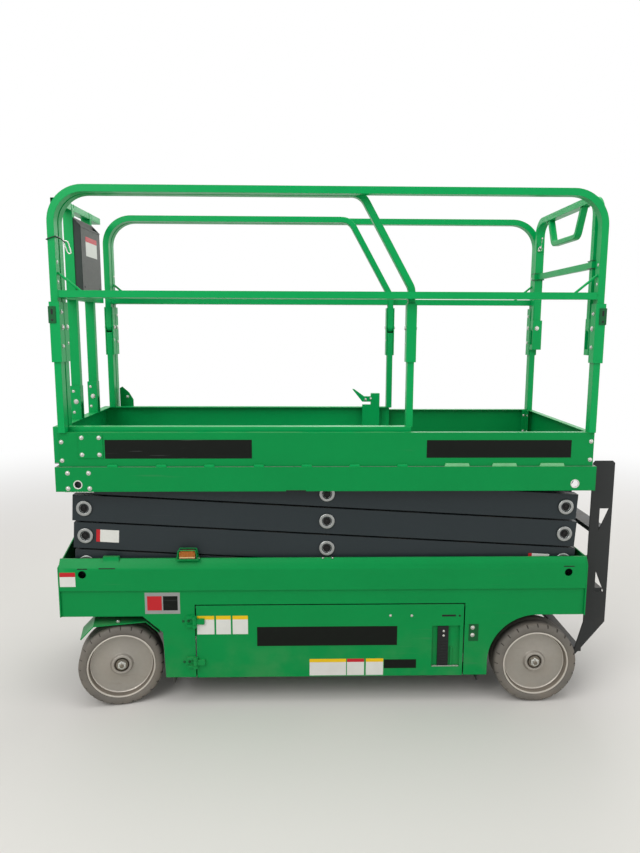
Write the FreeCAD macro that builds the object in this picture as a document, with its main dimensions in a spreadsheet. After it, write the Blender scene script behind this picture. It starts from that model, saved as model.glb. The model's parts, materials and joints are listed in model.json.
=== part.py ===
# Self-propelled scissor lift: slab chassis, four scissor levels, guarded platform with a slide-out deck.
# X runs along the machine, positive to the entry ladder. Y runs across, negative on the left side. Z is up.
# The origin is on the ground under the middle of the machine. All sizes are in millimetres.
import FreeCAD
import Part
import Sketcher

import os
import re

doc = FreeCAD.newDocument("ScissorLift")

# Driving sizes: alias, value, meaning
SIZES = [
    # chassis
    ("chassis_front", -1206, "front face of the chassis"),
    ("chassis_rear", 1064, "rear face of the chassis"),
    ("half_width", 405, "half width over the chassis sides"),
    ("sheet_wall", 4, "wall of the bent side sheets"),
    ("skirt_inset", 8, "step from the channel face in to the skirt face"),
    ("skirt_bottom", 409, "lower edge of the skirt ahead of and behind the door section"),
    ("crease_height", 527, "bottom of the side channel"),
    ("bevel_start", 632, "start of the bevel on the side channel"),
    ("chassis_top", 664, "top of the side channel"),
    ("bevel_run", 20, "how far the bevel leans in"),
    ("top_lip", 8, "lip along the top of the channel"),
    ("lower_edge", 127, "bottom of the door section"),
    ("section_front", -763, "front end of the door section"),
    ("section_slant", -856, "where the slant in front of the door section starts"),
    ("slant_height", 335, "height of the lower end of that slant"),
    ("arch_radius", 215, "rear wheel arch"),
    ("arch_centre_height", 190, "height of the arch centre"),
    ("floor_top", 450, "top of the well floor"),
    ("floor_wall", 6, "well floor plate"),
    ("spine_half", 75, "half width of the spine box"),
    ("spine_bottom", 160, "bottom of the spine box"),
    ("bulkhead_front", -730, "front bulkhead, front face"),
    ("bulkhead_rear", 600, "rear bulkhead, front face"),
    ("bulkhead_wall", 6, "bulkhead plate"),
    ("bulkhead_bottom", 98, "bottom of the bulkheads"),
    ("end_plate_wall", 6, "front and rear end plates"),
    ("end_plate_crown", 36, "rise of the front end plate between its shoulders"),
    ("shoulder_half", 185, "half width of that rise"),
    ("tie_hole_radius", 17, "tie-down holes in the chassis sides"),
    ("tie_hole_height", 600, "height of the tie-down holes"),
    ("tie_hole_inset", 103, "tie-down holes from the front end"),
    ("tie_hole_rear_inset", 83, "tie-down holes from the rear end"),
    ("lug_front", -1015, "rounded lug on the chassis top, front end"),
    ("lug_rear", -948, "rounded lug on the chassis top, rear end"),
    ("lug_rise", 11, "rounded lug above the chassis top"),
    # side doors and their trays
    ("door_front", -627, "front edge of the side door"),
    ("door_rear", 535, "rear edge of the side door"),
    ("door_top", 455, "top edge of the side door"),
    ("door_bottom", 125, "bottom edge of the side door"),
    ("door_gap", 5, "gap round the door"),
    ("door_hinge_x", -632, "door hinge line"),
    ("door_hinge_out", 3, "hinge line out from the channel face"),
    ("door_pin_radius", 5, "door hinge pins"),
    ("door_sleeve_radius", 10, "sleeves round the door hinge pins"),
    ("door_hinge_low", 199, "height of the lower hinge"),
    ("door_hinge_high", 386, "height of the upper hinge"),
    ("hinge_half", 12, "half height of a hinge"),
    ("tray_end_gap", 47, "end of the tray from the rear edge of the door"),
    ("tray_depth", 295, "tray from the door skin inwards"),
    ("tray_bottom", 135, "underside of the tray floor"),
    ("tray_wall", 6, "tray floor and walls"),
    ("tray_side", 120, "height of the tray walls"),
    ("battery_end_gap", 72, "battery pack from the ends of its tray"),
    ("battery_width", 230, "battery pack"),
    ("battery_height", 245, "battery pack"),
    ("power_unit_end_gap", 142, "pump, motor and tank from the ends of their tray"),
    ("power_unit_width", 220, "pump, motor and tank"),
    ("power_unit_height", 210, "pump, motor and tank"),
    ("pocket_front", 398, "handle pocket of the door, front edge"),
    ("pocket_rear", 520, "handle pocket of the door, rear edge"),
    ("pocket_bottom", 166, "handle pocket of the door"),
    ("pocket_top", 356, "handle pocket of the door"),
    ("pocket_depth", 14, "handle pocket of the door"),
    ("pocket_wall", 2, "handle pocket's walls"),
    ("handle_front", 425, "door handle, front edge"),
    ("handle_width", 44, "door handle"),
    ("handle_gap", 3, "door handle from the top and bottom of its pocket"),
    # pothole guards
    ("guard_hinge_y", 340, "pothole guard hinge line"),
    ("guard_hinge_z", 108, "pothole guard hinge line"),
    ("guard_pin_radius", 6, "pothole guard hinge rod"),
    ("guard_depth", 88, "pothole guard plate"),
    ("guard_wall", 5, "pothole guard plate"),
    ("guard_end_gap", 9, "gap from the pothole guard to the bulkheads"),
    # wheels
    ("tyre_radius", 180, "tyre"),
    ("tyre_width", 120, "tyre"),
    ("tyre_shoulder", 10, "bevel on the tyre shoulders"),
    ("rim_radius", 145, "tyre seat on the rim"),
    ("rim_wall", 8, "rim barrel"),
    ("rim_inset", 4, "rim barrel inside the tyre faces"),
    ("disc_inner", 28, "wheel disc, inner face from the wheel's middle plane"),
    ("disc_outer", 36, "wheel disc, outer face from the wheel's middle plane"),
    ("boss_inner", 14, "wheel boss, inner face"),
    ("boss_outer", 44, "wheel boss, outer face"),
    ("boss_radius", 40, "wheel boss"),
    ("nut_radius", 22, "axle nut"),
    ("nut_outer", 54, "axle nut, outer face"),
    ("spindle_radius", 20, "wheel spindle"),
    ("spindle_end", 38, "spindle end from the wheel's middle plane"),
    ("wheel_plane", 345, "middle plane of the wheels"),
    ("front_axle_x", -987, "front axle"),
    ("rear_axle_x", 859, "rear axle"),
    ("drive_radius", 75, "hub motor or brake inside the rim"),
    ("drive_outer", 10, "hub motor, outer face from the wheel's middle plane"),
    # steering
    ("kingpin_y", 245, "kingpin"),
    ("kingpin_radius", 15, "kingpin"),
    ("housing_radius", 30, "kingpin housing"),
    ("housing_bottom", 130, "kingpin housing"),
    ("housing_top", 250, "kingpin housing"),
    ("yoke_gap", 4, "yoke plates from the housing"),
    ("yoke_wall", 15, "yoke plates"),
    ("yoke_half", 40, "half width of the yoke plates"),
    ("yoke_plate_in", 36, "yoke web from the kingpin"),
    ("yoke_plate_wall", 14, "yoke web"),
    ("steer_rest", 12, "angle the front wheels are turned to as it stands"),
    ("steer_arm", 110, "steering arm from the kingpin"),
    ("steer_arm_half", 15, "half width of the steering arm"),
    ("steer_pin_radius", 10, "tie rod pins"),
    ("tie_rod_height", 303, "tie rod"),
    ("tie_rod_radius", 13, "tie rod"),
    ("tie_eye_radius", 18, "tie rod eyes"),
    ("tie_eye_half", 12, "half height of the tie rod eyes"),
    ("fender_half", 110, "half length of the flat of the wheel guard"),
    ("fender_end", 165, "half length of the whole wheel guard"),
    ("fender_top", 375, "top of the wheel guard"),
    ("fender_drop", 55, "drop of the wheel guard's ends"),
    ("fender_wall", 4, "wheel guard plate"),
    ("fender_inner", 27, "wheel guard, inner edge from the kingpin"),
    ("fender_outer", 155, "wheel guard, outer edge from the kingpin"),
    ("axle_half", 35, "half width of the axle beams"),
    ("axle_bottom", 150, "axle beams"),
    ("axle_top", 230, "front axle beam"),
    ("rear_axle_top", 210, "rear axle beam"),
    ("pedestal_half", 32, "half width of the axle pedestals"),
    ("pedestal_reach", 150, "front pedestal half length across"),
    # scissor stack
    ("arm_length", 2064.5, "arm, pin to pin"),
    ("arm_pin_rear_x", 967.5, "fixed rear pins"),
    ("lower_pin_z", 520, "height of the bottom pins"),
    ("level_rise", 120, "rise of one level as it stands"),
    ("arm_depth", 112, "arm tube, height"),
    ("arm_wall", 5, "arm tube"),
    ("arm_end", 50, "arm end past its pin"),
    ("outer_arm_in", 312, "outer arms, inner face"),
    ("inner_arm_in", 254, "inner arms, inner face"),
    ("arm_thick", 50, "arm tube, width"),
    ("arm_pin_radius", 18, "arm pins"),
    ("arm_sleeve_radius", 30, "pin sleeves in the arms"),
    ("collar_radius", 32, "pin collars"),
    ("collar_wall", 6, "pin collars"),
    ("pin_recess", 4, "pin ends below the arm face"),
    ("pin_stub", 4, "pin ends past the inner arm"),
    ("fit", 0.08, "radial clearance of the running fits"),
    ("cross_place", 900, "cross tubes from the middle of the inner arms"),
    ("cross_radius", 30, "cross tubes of the inner arms"),
    ("roller_radius", 30, "rollers"),
    ("roller_gap", 0.4, "rollers above their tracks"),
    ("lower_roller_in", 310, "lower rollers"),
    ("lower_roller_out", 350, "lower rollers"),
    ("upper_roller_in", 374, "upper rollers"),
    ("upper_roller_out", 400, "upper rollers"),
    ("track_front", -1180, "lower roller track"),
    ("track_rear", 110, "lower roller track"),
    ("lug_in", 370, "fixed pin lugs on the chassis"),
    ("lug_out", 378, "fixed pin lugs on the chassis"),
    ("lug_half", 40, "half length of the pin lugs"),
    ("top_lug_in", 309, "fixed pin lugs under the platform"),
    ("top_lug_out", 321, "fixed pin lugs under the platform"),
    # lift cylinder
    ("cylinder_low_place", 700, "lower eye from the middle of the lowest inner arms"),
    ("cylinder_high_place", 700, "upper eye from the middle of the third inner arms"),
    ("barrel_radius", 45, "cylinder barrel"),
    ("barrel_length", 1300, "lower eye to the end of the barrel"),
    ("barrel_start", 60, "lower eye to the barrel"),
    ("neck_radius", 30, "neck between the lower eye and the barrel"),
    ("rod_radius", 25, "cylinder rod"),
    ("rod_length", 1320, "upper eye to the inner end of the rod"),
    ("rod_end_gap", 10, "bore of the barrel past the rod's inner end"),
    ("eye_radius", 32, "cylinder eyes"),
    ("eye_half", 45, "half width of the cylinder eyes"),
    ("ear_in", 50, "clevis ears"),
    ("ear_wall", 14, "clevis ears"),
    ("ear_margin", 5, "clevis ears past the eye"),
    ("beam_run", 60, "clevis cross beams, length along the arm"),
    ("low_beam_gap", 12, "lower clevis beam behind the eye"),
    ("low_beam_depth", 46, "lower clevis beam"),
    ("high_beam_depth", 26, "upper clevis beam"),
    ("eye_pin_radius", 16, "cylinder pin"),
    # platform
    ("platform_front", -1189, "front of the platform sides"),
    ("platform_rear", 1068, "rear of the platform sides"),
    ("platform_half", 415, "half width over the platform sides"),
    ("deck_rise", 64, "underside of the deck plate above the upper pins"),
    ("deck_wall", 4, "deck plate"),
    ("side_hole_radius", 17, "holes in the platform sides"),
    ("side_hole_front", 92, "front hole from the front of the platform sides"),
    ("side_hole_rear", 88, "rear hole from the rear of the platform sides"),
    ("side_hole_rise", 30, "holes above the bottom of the platform sides"),
    ("side_flange", 5.6, "bottom flange of the platform sides"),
    ("side_flange_in", 372, "inner edge of that flange"),
    ("board_front", -1174, "front of the side toe boards"),
    ("board_rear", 1055, "rear of the side toe boards"),
    ("board_height", 143, "side toe boards above the deck plate"),
    ("board_half", 405, "half width over the side toe boards"),
    ("board_lip", 27, "top lip of the toe boards"),
    ("rib_half", 15, "half width of the deck ribs"),
    ("rib_depth", 24, "deck ribs"),
    ("end_depth", 54, "end plates of the deck"),
    ("rib_end_gap", 150, "first deck rib from the front"),
    ("rib_step", 550, "one deck rib to the next"),
    ("rib_reach", 240, "half length of the deck ribs"),
    # guard rails
    ("post_y", 395, "main posts"),
    ("post_front_x", -1153, "front main posts"),
    ("post_rear_x", 1041, "rear main posts"),
    ("tube_half", 14, "half width of the rail tubes, in the plane of a rail"),
    ("tube_depth", 20, "half depth of the rail tubes, across the plane of a rail"),
    ("rail_top", 2176, "centre of the top rails"),
    ("rail_bend", 130, "bend of the main rails"),
    ("mid_rail", 1771, "centre of the mid rails"),
    ("mid_inset", 1, "mid rails shallower than the uprights at each side"),
    ("brace_radius", 5, "corner braces of the rails"),
    ("brace_run", 115, "corner braces, along the rail"),
    ("brace_rise", 94, "corner braces, up the post"),
    ("rail_pivot", 1640, "pivot bolts of the side rails and the entry frame"),
    ("pivot_gap", 6, "fixed post below the pivot eye"),
    ("bracket_bottom", 1500, "rail brackets"),
    ("bracket_top", 1740, "rail brackets"),
    ("collar_height", 30, "collar at the foot of a rail bracket"),
    ("bracket_wall", 5, "rail brackets"),
    ("bracket_gap", 1.5, "rail tube to bracket"),
    ("pivot_bolt", 6, "fold pivot bolts"),
    ("eye_proud", 0.5, "pivot eyes of the uprights, thicker than their tubes"),
    ("eye_inset", 2, "pivot eyes of the uprights, shorter than their tubes at each side"),
    ("bore_past", 1, "how far a bore runs past the solid it is cut from"),
    ("weld_bite", 1, "how far a welded piece runs into the next one"),
    ("corner_gap", 1, "rear toe board to the side ones"),
    ("beacon_overhang", 8, "beacon plates past the chassis sides"),
    ("track_margin", 4, "roller tracks wider than their rollers at each side"),
    ("pedestal_front", 51.2, "front pedestal, ahead of the axle"),
    ("web_half", 52, "half length of the knuckles' webs"),
    ("steer_pin_proud", 3, "steering pins above the tie rod's eyes"),
    ("spindle_gap", 1, "spindles from the bottom of the rims' bores"),
    ("sleeve_gap", 1, "door hinge sleeves, one above the other"),
    ("sleeve_step", 1, "door sleeves thinner than those of the skirt"),
    # slide-out deck
    ("slide_rise", 6, "underside of the slide-out deck plate above the deck"),
    ("slide_wall", 4, "slide-out deck plate"),
    ("slide_front", -1204, "front of the slide-out deck"),
    ("slide_rear", 289, "rear of the slide-out deck"),
    ("slide_half", 370, "half width of the slide-out deck"),
    ("slide_board_height", 152, "its toe boards above its deck plate"),
    ("slide_lip", 40, "top lip of its toe boards"),
    ("slide_pad_gap", 0.3, "slide pads above the deck"),
    ("slide_pad_width", 14, "slide pads"),
    ("slide_pad_inset", 20, "slide pads from the front of the platform sides"),
    ("slide_post_y", 343, "slide-out deck posts"),
    ("slide_post_rear_x", 282, "rear posts of the slide-out deck"),
    ("brace_drop", 1800, "lower end of the slanted rail"),
    ("brace_front_x", 71, "upper end of the slanted rail"),
    ("slide_bend", 130, "bend of the extension rails"),
    # foot lock of the slide-out deck, on its right side
    ("pedal_x", 188, "middle of the foot lock"),
    ("pedal_half", 45, "half length of its plate"),
    ("pedal_drop", 105, "its plate below the top of the toe board"),
    ("pedal_rise", 14, "its plate above the top of the toe board"),
    ("pedal_wall", 5, "its plate"),
    ("pedal_block_rise", 72, "its block above the top of the toe board"),
    ("pedal_block_depth", 28, "its block"),
    ("pedal_tip", 98, "tip of its pedal from the middle"),
    ("pedal_tip_rise", 94, "tip of its pedal above the toe board"),
    # front rail of the slide-out deck
    ("front_rail_x", -1179.5, "front rail frame"),
    ("front_post_y", 120, "front rail posts"),
    ("front_pivot_rise", 80, "front rail fold pivot above the toe boards"),
    ("front_rail_top", 2150, "front rail, top bar"),
    ("front_bar_half", 275, "front rail, half length of its bars"),
    ("front_socket_height", 150, "front rail sockets above the toe boards"),
    # entry
    ("entry_y", 345, "entry frame posts"),
    ("entry_x", 1041, "entry frame"),
    ("entry_bracket_bottom", 1530, "entry frame brackets"),
    ("entry_bracket_top", 1680, "entry frame brackets"),
    ("entry_stop", 25, "foot of the entry brackets"),
    ("link_reach", 10, "link of the entry brackets to the rear posts"),
    ("entry_top", 2170, "entry frame, top bar"),
    ("entry_bend", 75, "entry frame bends"),
    ("entry_bar_z", 1900, "sliding entry bar"),
    ("entry_bar_half", 14, "half height of the sliding entry bar"),
    ("entry_bar_depth", 9, "half depth of the sliding entry bar"),
    ("ring_wall", 5, "collars of the sliding bar"),
    ("ring_half", 15, "half height of the collars"),
    ("ring_gap", 0.5, "rings round the entry posts"),
    ("grab_half", 200, "grab loop under the entry top bar"),
    ("grab_lean", 60, "lean of the grab loop's legs"),
    ("grab_bottom", 2040, "grab loop"),
    ("grab_tube", 12, "half width of the grab loop's tube"),
    ("grab_depth", 14, "half depth of the grab loop's tube"),
    # document box
    ("box_left", -130, "document box, left side"),
    ("box_right", 140, "document box, right side"),
    ("box_bottom", 1790, "document box"),
    ("box_top", 2110, "document box"),
    ("box_depth", 60, "document box"),
    ("box_wall", 3, "document box"),
    ("box_slope", 50, "slope of the box's open top"),
    # ladder
    ("ladder_y", 290, "ladder plates, outer face"),
    ("ladder_wall", 6, "ladder plates"),
    ("ladder_front", 1109, "ladder plates, front edge"),
    ("ladder_rear", 1206, "ladder plates, rear edge"),
    ("ladder_top", 1067, "ladder plates"),
    ("ladder_bend_z", 321, "where the ladder plates turn in"),
    ("ladder_foot", 165, "foot of the ladder plates"),
    ("ladder_foot_front", 1069, "foot of the ladder plates"),
    ("ladder_foot_rear", 1082, "foot of the ladder plates"),
    ("ladder_corner", 10, "cut corners at the top of the ladder plates"),
    ("ladder_tab", 30, "tabs that hold the ladder plates"),
    ("ladder_tab_height", 40, "tabs that hold the ladder plates"),
    ("ladder_tab_low", 20, "lower tab above the skirt's lower edge"),
    ("ladder_tab_drop", 80, "upper tab below the chassis top"),
    ("hole_front", 1151, "three-cornered holes in the ladder plates, front edge"),
    ("hole_rear", 1192, "three-cornered holes in the ladder plates, rear corner"),
    ("hole_low", 464, "lower three-cornered hole, bottom"),
    ("hole_low_top", 562, "lower three-cornered hole, top"),
    ("hole_high", 750, "upper three-cornered hole, bottom"),
    ("hole_high_top", 851, "upper three-cornered hole, top"),
    ("step_depth", 78, "ladder steps"),
    ("step_wall", 20, "ladder steps"),
    ("step_low", 175, "lowest step"),
    ("step_rise", 285, "one step to the next"),
    # beacons
    ("beacon_x", -657, "beacons"),
    ("beacon_y", 392, "beacons"),
    ("beacon_half", 34, "half length of the beacon lens"),
    ("beacon_width", 17, "half width of the beacon lens"),
    ("beacon_height", 34, "beacon lens"),
    ("beacon_slope", 8, "how far the lens leans in at each end"),
    ("beacon_plate", 4, "beacon base plate"),
    ("guard_foot", 46, "half length of the beacon's wire guard at its foot"),
    ("guard_head", 36, "half length of the beacon's wire guard at its top"),
    ("guard_rise", 44, "height of the beacon's wire guard"),
    ("guard_wire", 4, "wire of the beacon's guard"),
]
NAMES = {row[0] for row in SIZES}

sheet = doc.addObject("Spreadsheet::Sheet", "Sizes")
for line, (alias, value, meaning) in enumerate(SIZES, start=1):
    sheet.set(f"A{line}", meaning)
    sheet.set(f"B{line}", str(value))
    sheet.setAlias(f"B{line}", alias)
doc.recompute()

WORD = re.compile(r"[a-z_]+[a-z_0-9]*")
UP = FreeCAD.Vector(0, 0, 1)

# Heights and places that follow from the sizes
TOP_PIN_Z = "(lower_pin_z + level_rise*4)"
DECK = f"({TOP_PIN_Z} + deck_rise)"
DECK_TOP = f"({DECK} + deck_wall)"
SIDE_BOTTOM = f"({TOP_PIN_Z} - roller_radius - roller_gap - side_flange)"
BOARD_TOP = f"({DECK_TOP} + board_height)"
RIB_BOTTOM = f"({DECK} - rib_depth)"
SLIDE_FLOOR = f"({DECK_TOP} + slide_rise)"
SLIDE_TOP = f"({SLIDE_FLOOR} + slide_wall)"
SLIDE_BOARD_TOP = f"({SLIDE_TOP} + slide_board_height)"
FRONT_PIVOT = f"({SLIDE_BOARD_TOP} + front_pivot_rise)"
FRONT_SOCKET_TOP = f"({SLIDE_BOARD_TOP} + front_socket_height)"
TRAY_END = "(door_rear - tray_end_gap)"


def formula(text):
    """Names of sizes in a formula become references to the sheet."""
    return WORD.sub(lambda m: "Sizes." + m.group() if m.group() in NAMES else m.group(), str(text))


def bind(thing, field, text):
    thing.setExpression(field, formula(text))


def neg(text):
    return f"-({text})"


def span(side, near, far):
    """A stretch across the machine, mirrored for the left side (side -1)."""
    return (near, far) if side > 0 else (neg(far), neg(near))


def across(side, text):
    return text if side > 0 else neg(text)


def around(centre, half):
    """Two limits at each side of a centre."""
    return (f"{centre} - ({half})", f"{centre} + ({half})")


def block(xs, ys, zs):
    """A block between two limits on each axis."""
    thing = doc.addObject("Part::Box", "Block")
    for field, (low, high), corner in (("Length", xs, "x"), ("Width", ys, "y"), ("Height", zs, "z")):
        bind(thing, field, f"({high}) - ({low})")
        bind(thing, f"Placement.Base.{corner}", low)
    return thing


def rod(axis, first, second, low, high, radius):
    """A round bar along an axis. first and second place it on the other two axes, in order."""
    thing = doc.addObject("Part::Cylinder", "Rod")
    bind(thing, "Radius", radius)
    bind(thing, "Height", f"({high}) - ({low})")
    if axis == "x":
        thing.Placement = FreeCAD.Placement(FreeCAD.Vector(), FreeCAD.Rotation(FreeCAD.Vector(0, 1, 0), 90))
        where = (low, first, second)
    elif axis == "y":
        thing.Placement = FreeCAD.Placement(FreeCAD.Vector(), FreeCAD.Rotation(FreeCAD.Vector(1, 0, 0), -90))
        where = (first, low, second)
    else:
        where = (first, second, low)
    for corner, text in zip("xyz", where):
        bind(thing, f"Placement.Base.{corner}", text)
    return thing


def bend(plane, where, radius, start):
    """A quarter bend of the rail tube in a plane, about a centre, from a start angle."""
    spin = FreeCAD.Rotation(UP, start)
    x, y, z = where
    rings = []
    for reach, angle, past in (("tube_half", 90, "0"), ("-tube_half", 360, "bore_past")):
        thing = doc.addObject("Part::Cylinder", "Bend")
        bind(thing, "Radius", f"{radius} + {reach}")
        bind(thing, "Height", f"tube_depth*2 + {past}*2")
        thing.Angle = angle
        if plane == "xz":
            turn = FreeCAD.Rotation(FreeCAD.Vector(1, 0, 0), 90)
            corner = (x, f"{y} + tube_depth + {past}", z)
        else:
            turn = FreeCAD.Rotation(FreeCAD.Vector(1, 1, 1), 120)
            corner = (f"{x} - tube_depth - {past}", y, z)
        thing.Placement = FreeCAD.Placement(FreeCAD.Vector(), turn.multiply(spin))
        for axis, text in zip("xyz", corner):
            bind(thing, f"Placement.Base.{axis}", text)
        rings.append(thing)
    return cut(*rings)


def number(text):
    """The number that a formula gives with the sizes as they are."""
    return float(sheet.evalExpression(formula(text)))


PLANES = {"xy": "XY_Plane", "xz": "XZ_Plane", "yz": "YZ_Plane"}


def origin_plane(body, plane):
    return next(f for f in body.Origin.OriginFeatures if f.Role == PLANES[plane])


def outline(body, plane, points, offset):
    """A closed sketch through points, each placed by two formulas."""
    sketch = body.newObject("Sketcher::SketchObject", "Outline")
    sketch.AttachmentSupport = [(origin_plane(body, plane), "")]
    sketch.MapMode = "FlatFace"
    bind(sketch, "AttachmentOffset.Base.z", offset)
    values = [(number(a), number(b)) for a, b in points]
    count = len(points)
    for i in range(count):
        ends = [FreeCAD.Vector(*values[i], 0), FreeCAD.Vector(*values[(i + 1) % count], 0)]
        sketch.addGeometry(Part.LineSegment(*ends))
    for i in range(count):
        sketch.addConstraint(Sketcher.Constraint("Coincident", i, 2, (i + 1) % count, 1))
    for i, (first, second) in enumerate(points):
        for kind, text, value in (("DistanceX", first, values[i][0]), ("DistanceY", second, values[i][1])):
            index = sketch.addConstraint(Sketcher.Constraint(kind, -1, 1, i, 1, value))
            bind(sketch, f"Constraints[{index}]", text)
    return sketch


def plate(plane, points, low, high):
    """A flat piece: an outline padded between two limits across its plane."""
    body = doc.addObject("PartDesign::Body", "Plate")
    start = neg(high) if plane == "xz" else low
    sketch = outline(body, plane, points, start)
    pad = body.newObject("PartDesign::Pad", "Pad")
    pad.Profile = sketch
    bind(pad, "Length", f"({high}) - ({low})")
    body.Tip = pad
    return body


def turned(points):
    """A round piece: an outline of axial and radial places, turned about the axle line along Y."""
    body = doc.addObject("PartDesign::Body", "Turned")
    sketch = outline(body, "yz", points, "0")
    spin = body.newObject("PartDesign::Revolution", "Turn")
    spin.Profile = sketch
    spin.ReferenceAxis = (sketch, ["H_Axis"])
    spin.Angle = 360
    body.Tip = spin
    return body


def fuse(*pieces):
    thing = doc.addObject("Part::MultiFuse", "Joined")
    thing.Shapes = list(pieces)
    return thing


def cut(base, *tools):
    thing = doc.addObject("Part::Cut", "Cut")
    thing.Base = base
    thing.Tool = tools[0] if len(tools) == 1 else fuse(*tools)
    return thing


def together(*pieces):
    """Like pieces of one body that don't touch, kept in one sub-part."""
    thing = doc.addObject("Part::Compound", "Set")
    thing.Links = list(pieces)
    return thing


def place(thing, where, turn_axis=None, angle=None):
    """Moves a finished piece to a place given by formulas, turned by a formula about an axis."""
    if turn_axis:
        thing.Placement = FreeCAD.Placement(FreeCAD.Vector(), FreeCAD.Rotation(FreeCAD.Vector(*turn_axis), 1))
        bind(thing, "Placement.Rotation.Angle", angle)
    for corner, text in zip("xyz", where):
        bind(thing, f"Placement.Base.{corner}", text)
    return thing


PARTS = []


def part(name, thing):
    """Marks a finished sub-part, whose label names its file."""
    thing.Label = name
    PARTS.append(thing)
    return thing


LEFT = -1
RIGHT = 1
SIDES = ((LEFT, "left"), (RIGHT, "right"))
SKIRT_OUT = "half_width - skirt_inset"
SKIRT_IN = "half_width - skirt_inset - sheet_wall"


# Chassis sides

def chassis_side(side):
    channel_yz = [
        ("half_width - skirt_inset - sheet_wall", "crease_height"),
        ("half_width", "crease_height"),
        ("half_width", "bevel_start"),
        ("half_width - bevel_run", "chassis_top"),
        ("half_width - bevel_run - top_lip", "chassis_top"),
        ("half_width - bevel_run - top_lip", "chassis_top - sheet_wall"),
        ("half_width - bevel_run - sheet_wall/2", "chassis_top - sheet_wall"),
        ("half_width - sheet_wall", "bevel_start - sheet_wall/3"),
        ("half_width - sheet_wall", "crease_height + sheet_wall"),
        ("half_width - skirt_inset - sheet_wall", "crease_height + sheet_wall"),
    ]
    channel = plate("yz", [(across(side, y), z) for y, z in channel_yz],
                    "chassis_front + end_plate_wall", "chassis_rear - end_plate_wall")
    low, high = span(side, SKIRT_IN, SKIRT_OUT)
    skirt_xz = [
        ("chassis_front + end_plate_wall", "skirt_bottom"),
        ("section_slant", "skirt_bottom"),
        ("section_front - sheet_wall*2", "slant_height"),
        ("section_front", "lower_edge"),
        ("rear_axle_x - arch_radius", "lower_edge"),
        ("rear_axle_x - arch_radius", "arch_centre_height"),
        ("rear_axle_x", "arch_centre_height + arch_radius"),
        ("chassis_rear - end_plate_wall", "arch_centre_height + arch_radius"),
        ("chassis_rear - end_plate_wall", "crease_height + sheet_wall"),
        ("chassis_front + end_plate_wall", "crease_height + sheet_wall"),
    ]
    skirt = plate("xz", skirt_xz, low, high)
    arch = rod("y", "rear_axle_x", "arch_centre_height", f"{low} - bore_past", f"{high} + bore_past", "arch_radius")
    opening = block(("door_front - door_gap", "door_rear + door_gap"), (f"{low} - bore_past", f"{high} + bore_past"),
                    ("lower_edge - bore_past", "door_top + door_gap"))
    holes = [rod("y", x, "tie_hole_height", *span(side, "half_width - sheet_wall - bore_past", "half_width + bore_past"),
                 "tie_hole_radius")
             for x in ("chassis_front + tie_hole_inset", "chassis_rear - tie_hole_rear_inset")]
    hinge = door_hinge_sleeves(side)
    lug_ys = span(side, "half_width - bevel_run - top_lip", "half_width - bevel_run/2")
    lug = block(("lug_front", "lug_rear"), lug_ys, ("chassis_top - bevel_run", "chassis_top + lug_rise"))
    return fuse(cut(fuse(channel, skirt), arch, opening, *holes), lug, *hinge)


def door_hinge_sleeves(side):
    """Sleeves and straps on the skirt that hold the door's pins."""
    pieces = []
    line_y = "half_width + door_hinge_out"
    for height in ("door_hinge_low", "door_hinge_high"):
        for shift in ("hinge_half + sleeve_gap", "-(hinge_half*2 + sleeve_gap)"):
            low = f"{height} + {shift}"
            high = f"{low} + hinge_half"
            strap = block(("door_hinge_x - hinge_half*3", "door_hinge_x"), span(side, SKIRT_OUT, line_y),
                          (low, high))
            sleeve = rod("z", "door_hinge_x", across(side, line_y), low, high, "door_sleeve_radius")
            bore = rod("z", "door_hinge_x", across(side, line_y), f"{low} - bore_past", f"{high} + bore_past",
                       "door_pin_radius + fit")
            pieces.append(cut(fuse(strap, sleeve), bore))
    return pieces


for side, word in SIDES:
    part(f"chassis_side_{word}", chassis_side(side))


# Chassis ends

def front_end_plate():
    half = "half_width"
    points = [
        (neg(half), "skirt_bottom"),
        (half, "skirt_bottom"),
        (half, "bevel_start"),
        ("shoulder_half", "chassis_top + end_plate_crown"),
        ("-shoulder_half", "chassis_top + end_plate_crown"),
        (neg(half), "bevel_start"),
    ]
    return plate("yz", points, "chassis_front", "chassis_front + end_plate_wall")


def rear_end_plate():
    half = "half_width"
    points = [
        (neg(half), "arch_centre_height + arch_radius"),
        (half, "arch_centre_height + arch_radius"),
        (half, "bevel_start"),
        ("half_width - bevel_run", "chassis_top"),
        (neg("half_width - bevel_run"), "chassis_top"),
        (neg(half), "bevel_start"),
    ]
    return plate("yz", points, "chassis_rear - end_plate_wall", "chassis_rear")


part("chassis_ends", together(front_end_plate(), rear_end_plate()))


# Base frame: well floor, spine, bulkheads, roller tracks and the lugs of the fixed pins

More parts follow.
